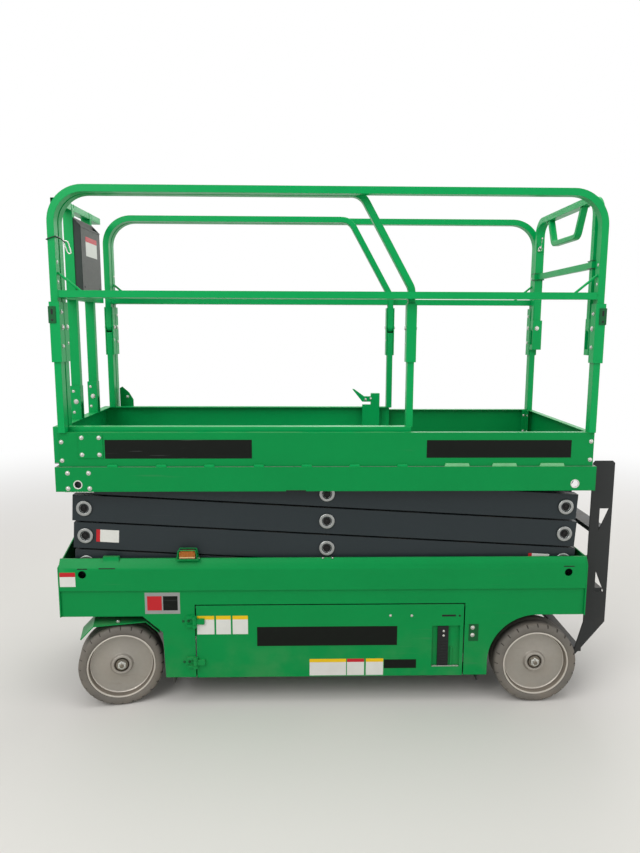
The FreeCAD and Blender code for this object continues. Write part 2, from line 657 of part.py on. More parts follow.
def base_frame():
    floor = block(("chassis_front + end_plate_wall", "chassis_rear - end_plate_wall"),
                  (neg(SKIRT_IN), SKIRT_IN), ("floor_top - floor_wall", "floor_top"))
    spine = block(("bulkhead_front + bulkhead_wall", "bulkhead_rear"), ("-spine_half", "spine_half"),
                  ("spine_bottom", "floor_top - floor_wall"))
    pieces = [floor, spine]
    for x in ("bulkhead_front", "bulkhead_rear"):
        wall = block((x, f"{x} + bulkhead_wall"), (neg(SKIRT_IN), SKIRT_IN), ("bulkhead_bottom", "floor_top"))
        bores = [rod("x", across(side, "guard_hinge_y"), "guard_hinge_z", f"{x} - bore_past", f"{x} + bulkhead_wall + bore_past",
                     "guard_pin_radius + fit") for side, word in SIDES]
        pieces.append(cut(wall, *bores))
    for side, word in SIDES:
        pieces.append(block(("track_front", "track_rear"),
                            span(side, "lower_roller_in - track_margin", "lower_roller_out + track_margin"),
                            ("floor_top", "lower_pin_z - roller_radius - roller_gap")))
        lug = fuse(
            block(("arm_pin_rear_x - lug_half", "arm_pin_rear_x + lug_half"), span(side, "lug_in", "lug_out"),
                  ("floor_top", "lower_pin_z")),
            rod("y", "arm_pin_rear_x", "lower_pin_z", *span(side, "lug_in", "lug_out"), "lug_half"))
        pieces.append(cut(lug, rod("y", "arm_pin_rear_x", "lower_pin_z",
                                   *span(side, "lug_in - bore_past", "lug_out + bore_past"), "arm_pin_radius + fit")))
    return fuse(*pieces)


part("base_frame", base_frame())


# Axles

def front_axle():
    beam = block(("front_axle_x - axle_half", "front_axle_x + axle_half"),
                 ("-kingpin_y", "kingpin_y"), ("axle_bottom", "axle_top"))
    pedestal = block(("front_axle_x - pedestal_front", "front_axle_x + pedestal_half"),
                     ("-pedestal_reach", "pedestal_reach"), ("axle_top", "floor_top - floor_wall"))
    housings = [rod("z", "front_axle_x", across(side, "kingpin_y"), "housing_bottom", "housing_top",
                    "housing_radius") for side, word in SIDES]
    bores = [rod("z", "front_axle_x", across(side, "kingpin_y"), "housing_bottom - bore_past", "housing_top + bore_past",
                 "kingpin_radius + fit") for side, word in SIDES]
    ends = [block(("front_axle_x - axle_half - bore_past", "front_axle_x + axle_half + bore_past"),
                  span(side, "kingpin_y", "kingpin_y + axle_half"), ("axle_bottom", "axle_top"))
            for side, word in SIDES]
    return cut(fuse(cut(fuse(beam, pedestal), *ends), *housings), *bores)


def rear_axle():
    xs = ("rear_axle_x - axle_half", "rear_axle_x + axle_half")
    pieces = [block(xs, ("-(wheel_plane - drive_radius)", "wheel_plane - drive_radius"),
                    ("axle_bottom", "rear_axle_top"))]
    for side, word in SIDES:
        pieces.append(block(xs, span(side, "pedestal_reach", "pedestal_reach + pedestal_half*2"),
                            ("axle_bottom", "floor_top - floor_wall")))
        pieces.append(rod("y", "rear_axle_x", "tyre_radius",
                          *span(side, "wheel_plane - drive_radius - weld_bite", "wheel_plane + drive_outer"),
                          "drive_radius"))
        pieces.append(rod("y", "rear_axle_x", "tyre_radius", *span(side, "wheel_plane", "wheel_plane + spindle_end"),
                          "spindle_radius"))
    return fuse(*pieces)


part("front_axle", front_axle())
part("rear_axle", rear_axle())


# Knuckles with their wheel guards, and the tie rod

OFFSET = "wheel_plane - kingpin_y"
YOKE_TOP = "housing_top + yoke_gap"
YOKE_BOTTOM = "housing_bottom - yoke_gap"


def knuckle(side):
    """Built about its kingpin, with the wheels straight, then turned to the rest angle."""
    web_ys = span(side, "yoke_plate_in", "yoke_plate_in + yoke_plate_wall")
    web = block(("-web_half", "web_half"), web_ys,
                (f"{YOKE_BOTTOM} - yoke_wall", f"{YOKE_TOP} + yoke_wall"))
    pieces = [web]
    for low in (YOKE_TOP, f"{YOKE_BOTTOM} - yoke_wall"):
        pieces.append(block(("-yoke_half", "yoke_half"), span(side, "-yoke_half/2", "yoke_plate_in"),
                            (low, f"{low} + yoke_wall")))
    pieces.append(rod("z", "0", "0", f"{YOKE_BOTTOM} - yoke_wall", f"{YOKE_TOP} + yoke_wall", "kingpin_radius"))
    pieces.append(rod("y", "0", "tyre_radius", *span(side, "yoke_plate_in", f"{OFFSET} + drive_outer"),
                      "drive_radius"))
    pieces.append(rod("y", "0", "tyre_radius", *span(side, OFFSET, f"{OFFSET} + spindle_end"), "spindle_radius"))
    pieces.append(block(("0", "steer_arm + steer_arm_half"), ("-steer_arm_half", "steer_arm_half"),
                        (f"{YOKE_TOP}", f"{YOKE_TOP} + yoke_wall")))
    pieces.append(rod("z", "steer_arm", "0", YOKE_TOP, "tie_rod_height + tie_eye_half + steer_pin_proud", "steer_pin_radius"))
    fender_xz = [
        ("-fender_end", "fender_top - fender_drop"),
        ("-fender_end + fender_wall", "fender_top - fender_drop - fender_wall/2"),
        ("-fender_half + fender_wall/2", "fender_top - fender_wall"),
        ("fender_half - fender_wall/2", "fender_top - fender_wall"),
        ("fender_end - fender_wall", "fender_top - fender_drop - fender_wall/2"),
        ("fender_end", "fender_top - fender_drop"),
        ("fender_half", "fender_top"),
        ("-fender_half", "fender_top"),
    ]
    pieces.append(plate("xz", fender_xz, *span(side, "fender_inner", "fender_outer")))
    pieces.append(block(("-yoke_half", "yoke_half"), span(side, "fender_inner", "yoke_plate_in - weld_bite"),
                        (f"{YOKE_TOP}", "fender_top - fender_wall/2")))
    return place(fuse(*pieces), ("front_axle_x", across(side, "kingpin_y"), "0"), (0, 0, 1), "steer_rest")


for side, word in SIDES:
    part(f"knuckle_{word}", knuckle(side))

TIE_X = "front_axle_x + steer_arm*cos(steer_rest)"
TIE_SHIFT = "steer_arm*sin(steer_rest)"


def tie_rod():
    low = "tie_rod_height - tie_eye_half"
    high = "tie_rod_height + tie_eye_half"
    bar = rod("y", TIE_X, "tie_rod_height", f"-kingpin_y + {TIE_SHIFT}", f"kingpin_y + {TIE_SHIFT}", "tie_rod_radius")
    eyes = [rod("z", TIE_X, f"{across(side, 'kingpin_y')} + {TIE_SHIFT}", low, high, "tie_eye_radius")
            for side, word in SIDES]
    bores = [rod("z", TIE_X, f"{across(side, 'kingpin_y')} + {TIE_SHIFT}", f"{low} - bore_past", f"{high} + bore_past",
                 "steer_pin_radius + fit") for side, word in SIDES]
    return cut(fuse(bar, *eyes), *bores)


part("tie_rod", tie_rod())


# Wheels: a solid tyre on a deep-dished rim. Their outer face is at the negative end of their own Y axis.

def tyre():
    return turned([
        ("-tyre_width/2", "rim_radius"),
        ("tyre_width/2", "rim_radius"),
        ("tyre_width/2", "tyre_radius - tyre_shoulder"),
        ("tyre_width/2 - tyre_shoulder", "tyre_radius"),
        ("-tyre_width/2 + tyre_shoulder", "tyre_radius"),
        ("-tyre_width/2", "tyre_radius - tyre_shoulder"),
    ])


def rim():
    return turned([
        ("-nut_outer", "0"),
        ("-nut_outer", "nut_radius"),
        ("-boss_outer", "nut_radius"),
        ("-boss_outer", "boss_radius"),
        ("-disc_outer", "boss_radius"),
        ("-disc_outer", "rim_radius - rim_wall"),
        ("-tyre_width/2 + rim_inset", "rim_radius - rim_wall"),
        ("-tyre_width/2 + rim_inset", "rim_radius"),
        ("tyre_width/2 - rim_inset", "rim_radius"),
        ("tyre_width/2 - rim_inset", "rim_radius - rim_wall"),
        ("-disc_inner", "rim_radius - rim_wall"),
        ("-disc_inner", "boss_radius"),
        ("-boss_inner", "boss_radius"),
        ("-boss_inner", "spindle_radius + fit"),
        ("-spindle_end - spindle_gap", "spindle_radius + fit"),
        ("-spindle_end - spindle_gap", "0"),
    ])


def wheel_place(side, front):
    """Where a wheel's middle is, and the angle that it is turned to about Z."""
    turn = "0" if side < 0 else "180"
    if not front:
        return ("rear_axle_x", across(side, "wheel_plane"), "tyre_radius"), turn
    x = f"front_axle_x - ({across(side, OFFSET)})*sin(steer_rest)"
    y = f"{across(side, 'kingpin_y')} + ({across(side, OFFSET)})*cos(steer_rest)"
    return (x, y, "tyre_radius"), f"{turn} + steer_rest"


for front, end in ((True, "front"), (False, "rear")):
    for side, word in SIDES:
        where, turn = wheel_place(side, front)
        part(f"tyre_{end}_{word}", place(tyre(), where, (0, 0, 1), turn))
        part(f"rim_{end}_{word}", place(rim(), where, (0, 0, 1), turn))


# Swing-out doors with their trays and what stands on them

def door(side):
    skin = block(("door_front", "door_rear"), span(side, SKIRT_IN, SKIRT_OUT), ("door_bottom", "door_top"))
    mouth = block(("pocket_front", "pocket_rear"), span(side, f"{SKIRT_IN} - bore_past", f"{SKIRT_OUT} + bore_past"),
                  ("pocket_bottom", "pocket_top"))
    tray_end = TRAY_END
    inner = f"{SKIRT_IN} - tray_depth"
    tray = block(("door_front + tray_wall*2", tray_end), span(side, inner, SKIRT_IN),
                 ("tray_bottom", "tray_bottom + tray_wall"))
    back = block(("door_front + tray_wall*2", tray_end), span(side, inner, f"{inner} + tray_wall"),
                 ("tray_bottom", "tray_bottom + tray_side"))
    pieces = [cut(skin, mouth), tray, back] + handle_pocket(side)
    for low in ("door_front + tray_wall*2", f"{tray_end} - tray_wall"):
        pieces.append(block((low, f"{low} + tray_wall"), span(side, inner, SKIRT_IN),
                            ("tray_bottom", "tray_bottom + tray_side")))
    line_y = "half_width + door_hinge_out"
    for height in ("door_hinge_low", "door_hinge_high"):
        pieces.append(block(("door_hinge_x", "door_front + hinge_half*3"), span(side, SKIRT_OUT, line_y),
                            (f"{height} - hinge_half", f"{height} + hinge_half")))
        pieces.append(rod("z", "door_hinge_x", across(side, line_y), f"{height} - hinge_half",
                          f"{height} + hinge_half", "door_sleeve_radius - sleeve_step"))
        pieces.append(rod("z", "door_hinge_x", across(side, line_y), f"{height} - hinge_half*2",
                          f"{height} + hinge_half*2", "door_pin_radius"))
    return fuse(*pieces)


def handle_pocket(side):
    """The shallow pocket behind the door's handle, and the handle in it."""
    deep = f"{SKIRT_OUT} - pocket_depth"
    outer_xs = ("pocket_front - pocket_wall", "pocket_rear + pocket_wall")
    outer_zs = ("pocket_bottom - pocket_wall", "pocket_top + pocket_wall")
    shell = block(outer_xs, span(side, deep, SKIRT_IN), outer_zs)
    room = block(("pocket_front", "pocket_rear"), span(side, f"{deep} + pocket_wall", f"{SKIRT_IN} + bore_past"),
                 ("pocket_bottom", "pocket_top"))
    handle = block(("handle_front", "handle_front + handle_width"), span(side, deep, f"{SKIRT_OUT} - pocket_wall"),
                   ("pocket_bottom + handle_gap", "pocket_top - handle_gap"))
    return [cut(shell, room), handle]


def tray_load(side, end_gap, width, height):
    outer = f"{SKIRT_IN} - tray_wall*3"
    return block((f"door_front + tray_wall*2 + {end_gap}", f"{TRAY_END} - {end_gap}"),
                 span(side, f"{outer} - {width}", outer),
                 ("tray_bottom + tray_wall", f"tray_bottom + tray_wall + {height}"))


for side, word in SIDES:
    part(f"door_{word}", door(side))
part("battery_pack", tray_load(LEFT, "battery_end_gap", "battery_width", "battery_height"))
part("power_unit", tray_load(RIGHT, "power_unit_end_gap", "power_unit_width", "power_unit_height"))


# Pothole guards between the wheels, folded up under the trays

def pothole_guard(side):
    low_x = "bulkhead_front + bulkhead_wall + guard_end_gap"
    high_x = "bulkhead_rear - guard_end_gap"
    leaf = block((low_x, high_x), span(side, "guard_hinge_y - guard_depth", "guard_hinge_y"),
                 ("guard_hinge_z - guard_wall/2", "guard_hinge_z + guard_wall/2"))
    pin = rod("x", across(side, "guard_hinge_y"), "guard_hinge_z", "bulkhead_front",
              "bulkhead_rear + bulkhead_wall", "guard_pin_radius")
    return fuse(leaf, pin)


for side, word in SIDES:
    part(f"pothole_guard_{word}", pothole_guard(side))


# Entry ladder on the rear of the chassis

def ladder():
    outline_xz = [
        ("ladder_front + ladder_corner", "ladder_top"),
        ("ladder_front", "ladder_top - ladder_corner"),
        ("ladder_front", "ladder_bend_z"),
        ("ladder_foot_front", "ladder_foot"),
        ("ladder_foot_rear", "ladder_foot"),
        ("ladder_rear", "ladder_bend_z"),
        ("ladder_rear", "ladder_top - ladder_corner"),
        ("ladder_rear - ladder_corner", "ladder_top"),
    ]
    holes_xz = (
        [("hole_front", "hole_high"), ("hole_rear", "hole_high_top"), ("hole_front", "hole_high_top")],
        [("hole_front", "hole_low"), ("hole_rear", "hole_low"), ("hole_front", "hole_low_top")],
    )
    pieces = []
    for side, word in SIDES:
        ys = span(side, "ladder_y - ladder_wall", "ladder_y")
        past = span(side, "ladder_y - ladder_wall - bore_past", "ladder_y + bore_past")
        pieces.append(cut(plate("xz", outline_xz, *ys), *[plate("xz", hole, *past) for hole in holes_xz]))
        for low in ("skirt_bottom + ladder_tab_low", "chassis_top - ladder_tab_drop"):
            pieces.append(block(("chassis_rear", "ladder_front + ladder_tab"),
                                span(side, "ladder_y - ladder_wall - ladder_tab", "ladder_y - ladder_wall"),
                                (low, f"{low} + ladder_tab_height")))
    for count in range(3):
        height = f"step_low + {count}*step_rise"
        front = "ladder_front" if count else "ladder_foot_front"
        depth = "step_depth" if count else "step_wall*2"
        pieces.append(block((front, f"{front} + {depth}"), ("-(ladder_y - ladder_wall)", "ladder_y - ladder_wall"),
                            (height, f"{height} + step_wall")))
    return fuse(*pieces)


part("ladder", ladder())


# Beacons on the chassis sides

def beacon(side):
    """An amber lens on its plate, in a guard of wires that lean in."""
    floor = "chassis_top + beacon_plate"
    base = block(around("beacon_x", "guard_foot + guard_wire"),
                 span(side, "half_width - bevel_run - top_lip", "half_width + beacon_overhang"), ("chassis_top", floor))
    lens_xz = [
        ("beacon_x - beacon_half", floor),
        ("beacon_x + beacon_half", floor),
        ("beacon_x + beacon_half - beacon_slope", f"{floor} + beacon_height"),
        ("beacon_x - beacon_half + beacon_slope", f"{floor} + beacon_height"),
    ]
    pieces = [base, plate("xz", lens_xz, *around(across(side, "beacon_y"), "beacon_width"))]
    top = "chassis_top + guard_rise"
    wires_xz = [
        ("beacon_x - guard_foot", "chassis_top"),
        ("beacon_x - guard_head", top),
        ("beacon_x + guard_head", top),
        ("beacon_x + guard_foot", "chassis_top"),
        ("beacon_x + guard_foot - guard_wire", "chassis_top"),
        ("beacon_x + guard_head - guard_wire", f"{top} - guard_wire"),
        ("beacon_x - guard_head + guard_wire", f"{top} - guard_wire"),
        ("beacon_x - guard_foot + guard_wire", "chassis_top"),
    ]
    for low in ("beacon_y - beacon_width", "beacon_y + beacon_width - guard_wire"):
        pieces.append(plate("xz", wires_xz, *span(side, low, f"{low} + guard_wire")))
    for x in ("beacon_x - guard_head", "beacon_x + guard_head - guard_wire"):
        pieces.append(block((x, f"{x} + guard_wire"), around(across(side, "beacon_y"), "beacon_width"),
                            (f"{top} - guard_wire", top)))
    return fuse(*pieces)


part("beacons", together(*[beacon(side) for side, word in SIDES]))


# Scissor arms

REST_ANGLE = "asin(level_rise/arm_length)"
MIDDLE_X = f"arm_pin_rear_x - arm_length/2*cos({REST_ANGLE})"
PIN_PLACE = "arm_length/2"


def level_height(level):
    return f"lower_pin_z + level_rise*{level - 0.5}"


def arm_tube(side, inner_face, front, rear):
    """A square tube between two places along the arm."""
    outside = block((front, rear), span(side, inner_face, f"{inner_face} + arm_thick"),
                    ("-arm_depth/2", "arm_depth/2"))
    inside = block((f"{front} - bore_past", f"{rear} + bore_past"),
                   span(side, f"{inner_face} + arm_wall", f"{inner_face} + arm_thick - arm_wall"),
                   ("-arm_depth/2 + arm_wall", "arm_depth/2 - arm_wall"))
    return cut(outside, inside)


def sleeve(side, inner_face, x, radius):
    return rod("y", x, "0", *span(side, inner_face, f"{inner_face} + arm_thick"), radius)


def arm_end(round_end):
    return "0" if round_end else "arm_end"


def outer_arm(side, level):
    """One outer arm with its three pins. Its front end is the high one."""
    face = "outer_arm_in + arm_thick"
    front_round = level == 4
    rear_round = level == 1
    pieces = [arm_tube(side, "outer_arm_in", f"-{PIN_PLACE} - {arm_end(front_round)}",
                       f"{PIN_PLACE} + {arm_end(rear_round)}")]
    hollows = []
    for x, special in ((f"-{PIN_PLACE}", front_round), ("0", False), (PIN_PLACE, rear_round)):
        pieces.append(sleeve(side, "outer_arm_in", x, "arm_depth/2" if special else "arm_sleeve_radius"))
        if special:
            pin_out = "upper_roller_out" if front_round else "lug_out"
            pieces.append(rod("y", x, "0", *span(side, "outer_arm_in", pin_out), "arm_pin_radius"))
            if front_round:
                pieces.append(rod("y", x, "0", *span(side, "upper_roller_in", "upper_roller_out"), "roller_radius"))
            continue
        pieces.append(rod("y", x, "0", *span(side, "inner_arm_in - pin_stub", face), "arm_pin_radius"))
        pieces.append(rod("y", x, "0", *span(side, face, f"{face} + collar_wall"), "collar_radius"))
        hollows.append(rod("y", x, "0", *span(side, f"{face} - pin_recess", f"{face} + collar_wall + bore_past"),
                           "arm_pin_radius"))
    return cut(fuse(*pieces), *hollows)


def inner_arms(level):
    """The pair of inner arms of a level, joined by cross tubes. Their rear end is the high one."""
    front_round = level == 1
    rear_round = level == 4
    pieces = []
    bores = []
    for side, word in SIDES:
        pieces.append(arm_tube(side, "inner_arm_in", f"-{PIN_PLACE} - {arm_end(front_round)}",
                               f"{PIN_PLACE} + {arm_end(rear_round)}"))
        for x, special in ((f"-{PIN_PLACE}", front_round), ("0", False), (PIN_PLACE, rear_round)):
            pieces.append(sleeve(side, "inner_arm_in", x, "arm_depth/2" if special else "arm_sleeve_radius"))
            if not special:
                bores.append(rod("y", x, "0", *span(side, "inner_arm_in - bore_past", "inner_arm_in + arm_thick + bore_past"),
                                 "arm_pin_radius + fit"))
        if front_round:
            pieces.append(rod("y", f"-{PIN_PLACE}", "0", *span(side, "inner_arm_in", "lower_roller_out"),
                              "arm_pin_radius"))
            pieces.append(rod("y", f"-{PIN_PLACE}", "0", *span(side, "lower_roller_in", "lower_roller_out"),
                              "roller_radius"))
        if rear_round:
            pieces.append(rod("y", PIN_PLACE, "0", *span(side, "inner_arm_in", "top_lug_out"), "arm_pin_radius"))
    cross_ends = ("-(inner_arm_in + arm_wall)", "inner_arm_in + arm_wall")
    for sign in ("-", ""):
        if (level, sign) == (1, "") or (level, sign) == (3, "-"):
            continue
        pieces.append(rod("y", f"{sign}cross_place", "0", *cross_ends, "cross_radius"))
    if level == 1:
        pieces += clevis("cylinder_low_place", 1, cross_ends)
    if level == 3:
        pieces += clevis("-cylinder_high_place", -1, cross_ends)
    return cut(fuse(*pieces), *bores)


def clevis(x, direction, cross_ends):
    """A cross beam with two ears. direction 1 is the lower one, with its beam behind and below the eye."""
    if direction > 0:
        beam_x = (f"{x} + eye_radius + low_beam_gap", f"{x} + eye_radius + low_beam_gap + beam_run")
        beam_z = ("-arm_depth/2", "-arm_depth/2 + low_beam_depth")
        ear_z = ("-arm_depth/2", "eye_radius + ear_margin")
    else:
        beam_x = (f"{x} + eye_radius", f"{x} + eye_radius + beam_run")
        beam_z = ("arm_depth/2 - high_beam_depth", "arm_depth/2")
        ear_z = ("-eye_radius", "arm_depth/2")
    ear_x = (f"{x} - eye_radius - ear_margin", beam_x[1])
    pieces = [block(beam_x, cross_ends, beam_z)]
    for side, word in SIDES:
        pieces.append(block(ear_x, span(side, "ear_in", "ear_in + ear_wall"), ear_z))
    if direction > 0:
        pieces.append(rod("y", x, "0", "-(ear_in + ear_wall)", "ear_in + ear_wall", "eye_pin_radius"))
    return pieces


for level in range(1, 5):
    where = (MIDDLE_X, "0", level_height(level))
    pair = together(*[outer_arm(side, level) for side, word in SIDES])
    part(f"arm_outer_{level}", place(pair, where, (0, 1, 0), REST_ANGLE))
    part(f"arm_inner_{level}", place(inner_arms(level), where, (0, 1, 0), f"-{REST_ANGLE}"))


# Lift cylinder between the lowest and the third inner arms

LOW_X = f"{MIDDLE_X} + cylinder_low_place*cos({REST_ANGLE})"
LOW_Z = f"{level_height(1)} + cylinder_low_place*sin({REST_ANGLE})"
EYE_RUN = f"(cylinder_low_place + cylinder_high_place)*cos({REST_ANGLE})"
EYE_RISE = f"(level_rise*2 - (cylinder_low_place + cylinder_high_place)*sin({REST_ANGLE}))"
CYLINDER_ANGLE = f"atan({EYE_RISE}/({EYE_RUN}))"
CYLINDER_LENGTH = f"sqrt({EYE_RUN}*{EYE_RUN} + {EYE_RISE}*{EYE_RISE})"


def barrel():
    """Built with its lower eye at the origin and its length along negative X."""
    tube = rod("x", "0", "0", "-barrel_length", "-barrel_start", "barrel_radius")
    neck = rod("x", "0", "0", "-barrel_start - weld_bite", "0", "neck_radius")
    eye = rod("y", "0", "0", "-eye_half", "eye_half", "eye_radius")
    bore = rod("x", "0", "0", "-barrel_length - bore_past", f"-{CYLINDER_LENGTH} + rod_length + rod_end_gap",
               "rod_radius + fit")
    pin_hole = rod("y", "0", "0", "-eye_half - bore_past", "eye_half + bore_past", "eye_pin_radius + fit")
    return cut(fuse(tube, neck, eye), bore, pin_hole)


def cylinder_rod():
    tip = neg(CYLINDER_LENGTH)
    bar = rod("x", "0", "0", tip, f"{tip} + rod_length", "rod_radius")
    eye = rod("y", tip, "0", "-eye_half", "eye_half", "eye_radius")
    return fuse(bar, eye)


part("lift_cylinder_barrel", place(barrel(), (LOW_X, "0", LOW_Z), (0, 1, 0), CYLINDER_ANGLE))
part("lift_cylinder_rod", place(cylinder_rod(), (LOW_X, "0", LOW_Z), (0, 1, 0), CYLINDER_ANGLE))


# Platform deck with its ribs and the lugs of the upper fixed pins

def platform_deck():
    inside = "platform_half - sheet_wall"
    deck = block(("platform_front", "platform_rear"), (neg(inside), inside), (DECK, DECK_TOP))
    pieces = [deck]
    for count in range(4):
        pieces.append(block(around(f"platform_front + rib_end_gap + {count}*rib_step", "rib_half"),
                            ("-rib_reach", "rib_reach"), (RIB_BOTTOM, DECK)))
    for side, word in SIDES:
        ys = span(side, "top_lug_in", "top_lug_out")
        lug = fuse(block(("arm_pin_rear_x - lug_half", "arm_pin_rear_x + lug_half"), ys, (TOP_PIN_Z, DECK)),
                   rod("y", "arm_pin_rear_x", TOP_PIN_Z, *ys, "arm_sleeve_radius"))
        pieces.append(cut(lug, rod("y", "arm_pin_rear_x", TOP_PIN_Z, *span(side, "top_lug_in - bore_past", "top_lug_out + bore_past"),
                                   "arm_pin_radius + fit")))
    for low in ("platform_front", "platform_rear - sheet_wall"):
        pieces.append(block((low, f"{low} + sheet_wall"), (neg(inside), inside), (f"{DECK} - end_depth", DECK)))
    return fuse(*pieces)


part("platform_deck", platform_deck())


def platform_side(side):
    """The deep side sheet with its inward bottom flange, the upper rollers' track."""
    web = block(("platform_front", "platform_rear"), span(side, "platform_half - sheet_wall", "platform_half"),
                (SIDE_BOTTOM, DECK_TOP))
    past = span(side, "platform_half - sheet_wall - bore_past", "platform_half + bore_past")
    holes = [rod("y", x, f"{SIDE_BOTTOM} + side_hole_rise", *past, "side_hole_radius")
             for x in ("platform_front + side_hole_front", "platform_rear - side_hole_rear")]
    flange = block(("platform_front", "platform_rear"), span(side, "side_flange_in", "platform_half - sheet_wall"),
                   (SIDE_BOTTOM, f"{SIDE_BOTTOM} + side_flange"))
    return fuse(cut(web, *holes), flange)


def toe_board(side):
    web = block(("board_front", "board_rear"), span(side, "board_half - sheet_wall", "board_half"),
                (DECK_TOP, BOARD_TOP))
    lip = block(("board_front", "board_rear"), span(side, "board_half - board_lip", "board_half"),
                (f"{BOARD_TOP} - sheet_wall", BOARD_TOP))
    return fuse(web, lip)


def rear_board():
    """The toe board that people step over at the entry."""
    half = "board_half - board_lip - corner_gap"
    web = block(("board_rear - sheet_wall", "board_rear"), (neg(half), half), (DECK_TOP, BOARD_TOP))
    lip = block(("board_rear - board_lip", "board_rear"), (neg(half), half), (f"{BOARD_TOP} - sheet_wall", BOARD_TOP))
    return fuse(web, lip)


for side, word in SIDES:
    part(f"platform_side_{word}", platform_side(side))
    part(f"toe_board_{word}", toe_board(side))
part("toe_board_rear", rear_board())


# Posts and brackets

def bracket(x, side, y):
    """An upright bracket that opens inwards: two cheeks and a web on the outer side of a post."""
    gap_x = "tube_half + bracket_gap"
    gap_y = "tube_depth + bracket_gap"
    heights = ("bracket_bottom", "bracket_top")
    pieces = []
    for low, high in ((f"{x} - ({gap_x} + bracket_wall)", f"{x} - ({gap_x})"),
                      (f"{x} + {gap_x}", f"{x} + {gap_x} + bracket_wall")):
        pieces.append(block((low, high), span(side, f"{y} - tube_depth", f"{y} + {gap_y} + bracket_wall"), heights))
    pieces.append(block(around(x, f"{gap_x} + bracket_wall"),
                        span(side, f"{y} + {gap_y}", f"{y} + {gap_y} + bracket_wall"), heights))
    return pieces


def fixed_post(x, side, y, base):
    """A fixed post with the bracket and pivot bolt that carry a rail."""
    post = block(around(x, "tube_half"), around(across(side, y), "tube_depth"),
                 (base, "rail_pivot - tube_depth - pivot_gap"))
    collar = block(around(x, "tube_half + bracket_gap + bracket_wall/2"),
                   span(side, f"{y} - tube_depth/2", f"{y} + tube_depth + bracket_gap + bracket_wall/2"),
                   ("bracket_bottom", "bracket_bottom + collar_height"))
    bolt = rod("x", across(side, y), "rail_pivot", *around(x, "tube_half + bracket_gap + bracket_wall"), "pivot_bolt")
    return fuse(post, collar, bolt, *bracket(x, side, y))


def entry_bracket(side):
    """A bracket on the inner side of a rear post, open to the front, in which the entry frame folds."""
    gap_x = "(tube_depth + bracket_gap)"
    gap_y = "(tube_half + bracket_gap)"
    heights = ("entry_bracket_bottom", "entry_bracket_top")
    rear = f"entry_x + {gap_x} + bracket_wall"
    link_end = "post_y - tube_depth + link_reach"
    cheeks = []
    for low, high in ((f"entry_y - {gap_y} - bracket_wall", f"entry_y - {gap_y}"),
                      (f"entry_y + {gap_y}", f"entry_y + {gap_y} + bracket_wall")):
        cheeks.append(block(("entry_x - tube_depth", rear), span(side, low, high), heights))
    web = block((f"entry_x + {gap_x}", rear), span(side, f"entry_y - {gap_y} - bracket_wall", link_end), heights)
    link = block(("post_rear_x + tube_half + bracket_gap + bracket_wall/2", rear),
                 span(side, "post_y - tube_depth + link_reach/2", link_end), heights)
    foot = block(("entry_x - tube_depth", f"entry_x + {gap_x}"), around(across(side, "entry_y"), gap_y),
                 ("entry_bracket_bottom", "entry_bracket_bottom + entry_stop"))
    bolt = rod("y", "entry_x", "rail_pivot", *around(across(side, "entry_y"), gap_y), "pivot_bolt")
    return fuse(*cheeks, web, link, foot, bolt)


posts = []
for side, word in SIDES:
    posts.append(fixed_post("post_front_x", side, "post_y", BOARD_TOP))
    posts.append(fuse(fixed_post("post_rear_x", side, "post_y", BOARD_TOP), entry_bracket(side)))
part("rail_posts", together(*posts))


# Side rails. Each upright ends below in an eye round its pivot bolt.

def upright(x, side, y, top):
    """A rail upright from its pivot eye up."""
    bar = block(around(x, "tube_half"), around(across(side, y), "tube_depth"), ("rail_pivot", top))
    eye = rod("x", across(side, y), "rail_pivot", *around(x, "tube_half - eye_inset"), "tube_depth + eye_proud")
    return fuse(bar, eye)


def slanted_rail(rear_x, ys):
    """The sloping end of an extension rail, with round elbows where it meets the other tubes."""
    run = f"({rear_x} - brace_front_x)"
    rise = "(rail_top - brace_drop)"
    length = f"sqrt({run}*{run} + {rise}*{rise})"
    side_x = f"tube_half*{rise}/{length}"
    side_z = f"tube_half*{run}/{length}"
    corners = [
        (f"{rear_x} - {side_x}", f"brace_drop - {side_z}"),
        (f"{rear_x} + {side_x}", f"brace_drop + {side_z}"),
        (f"brace_front_x + {side_x}", f"rail_top + {side_z}"),
        (f"brace_front_x - {side_x}", f"rail_top - {side_z}"),
    ]
    pieces = [plate("xz", corners, *around(ys, "tube_depth"))]
    for x, z in ((rear_x, "brace_drop"), ("brace_front_x", "rail_top")):
        pieces.append(rod("y", x, z, *around(ys, "tube_depth - eye_inset"), "tube_half + eye_proud"))
    return pieces


def corner_brace(x, direction, ys):
    """A thin brace between the mid rail and an upright."""
    foot = f"{x} + ({direction}*brace_run)"
    length = "sqrt(brace_run*brace_run + brace_rise*brace_rise)"
    brace = rod("z", "0", "0", "0", length, "brace_radius")
    return place(brace, (foot, ys, "mid_rail"), (0, 1, 0), f"-{direction}*atan(brace_run/brace_rise)")


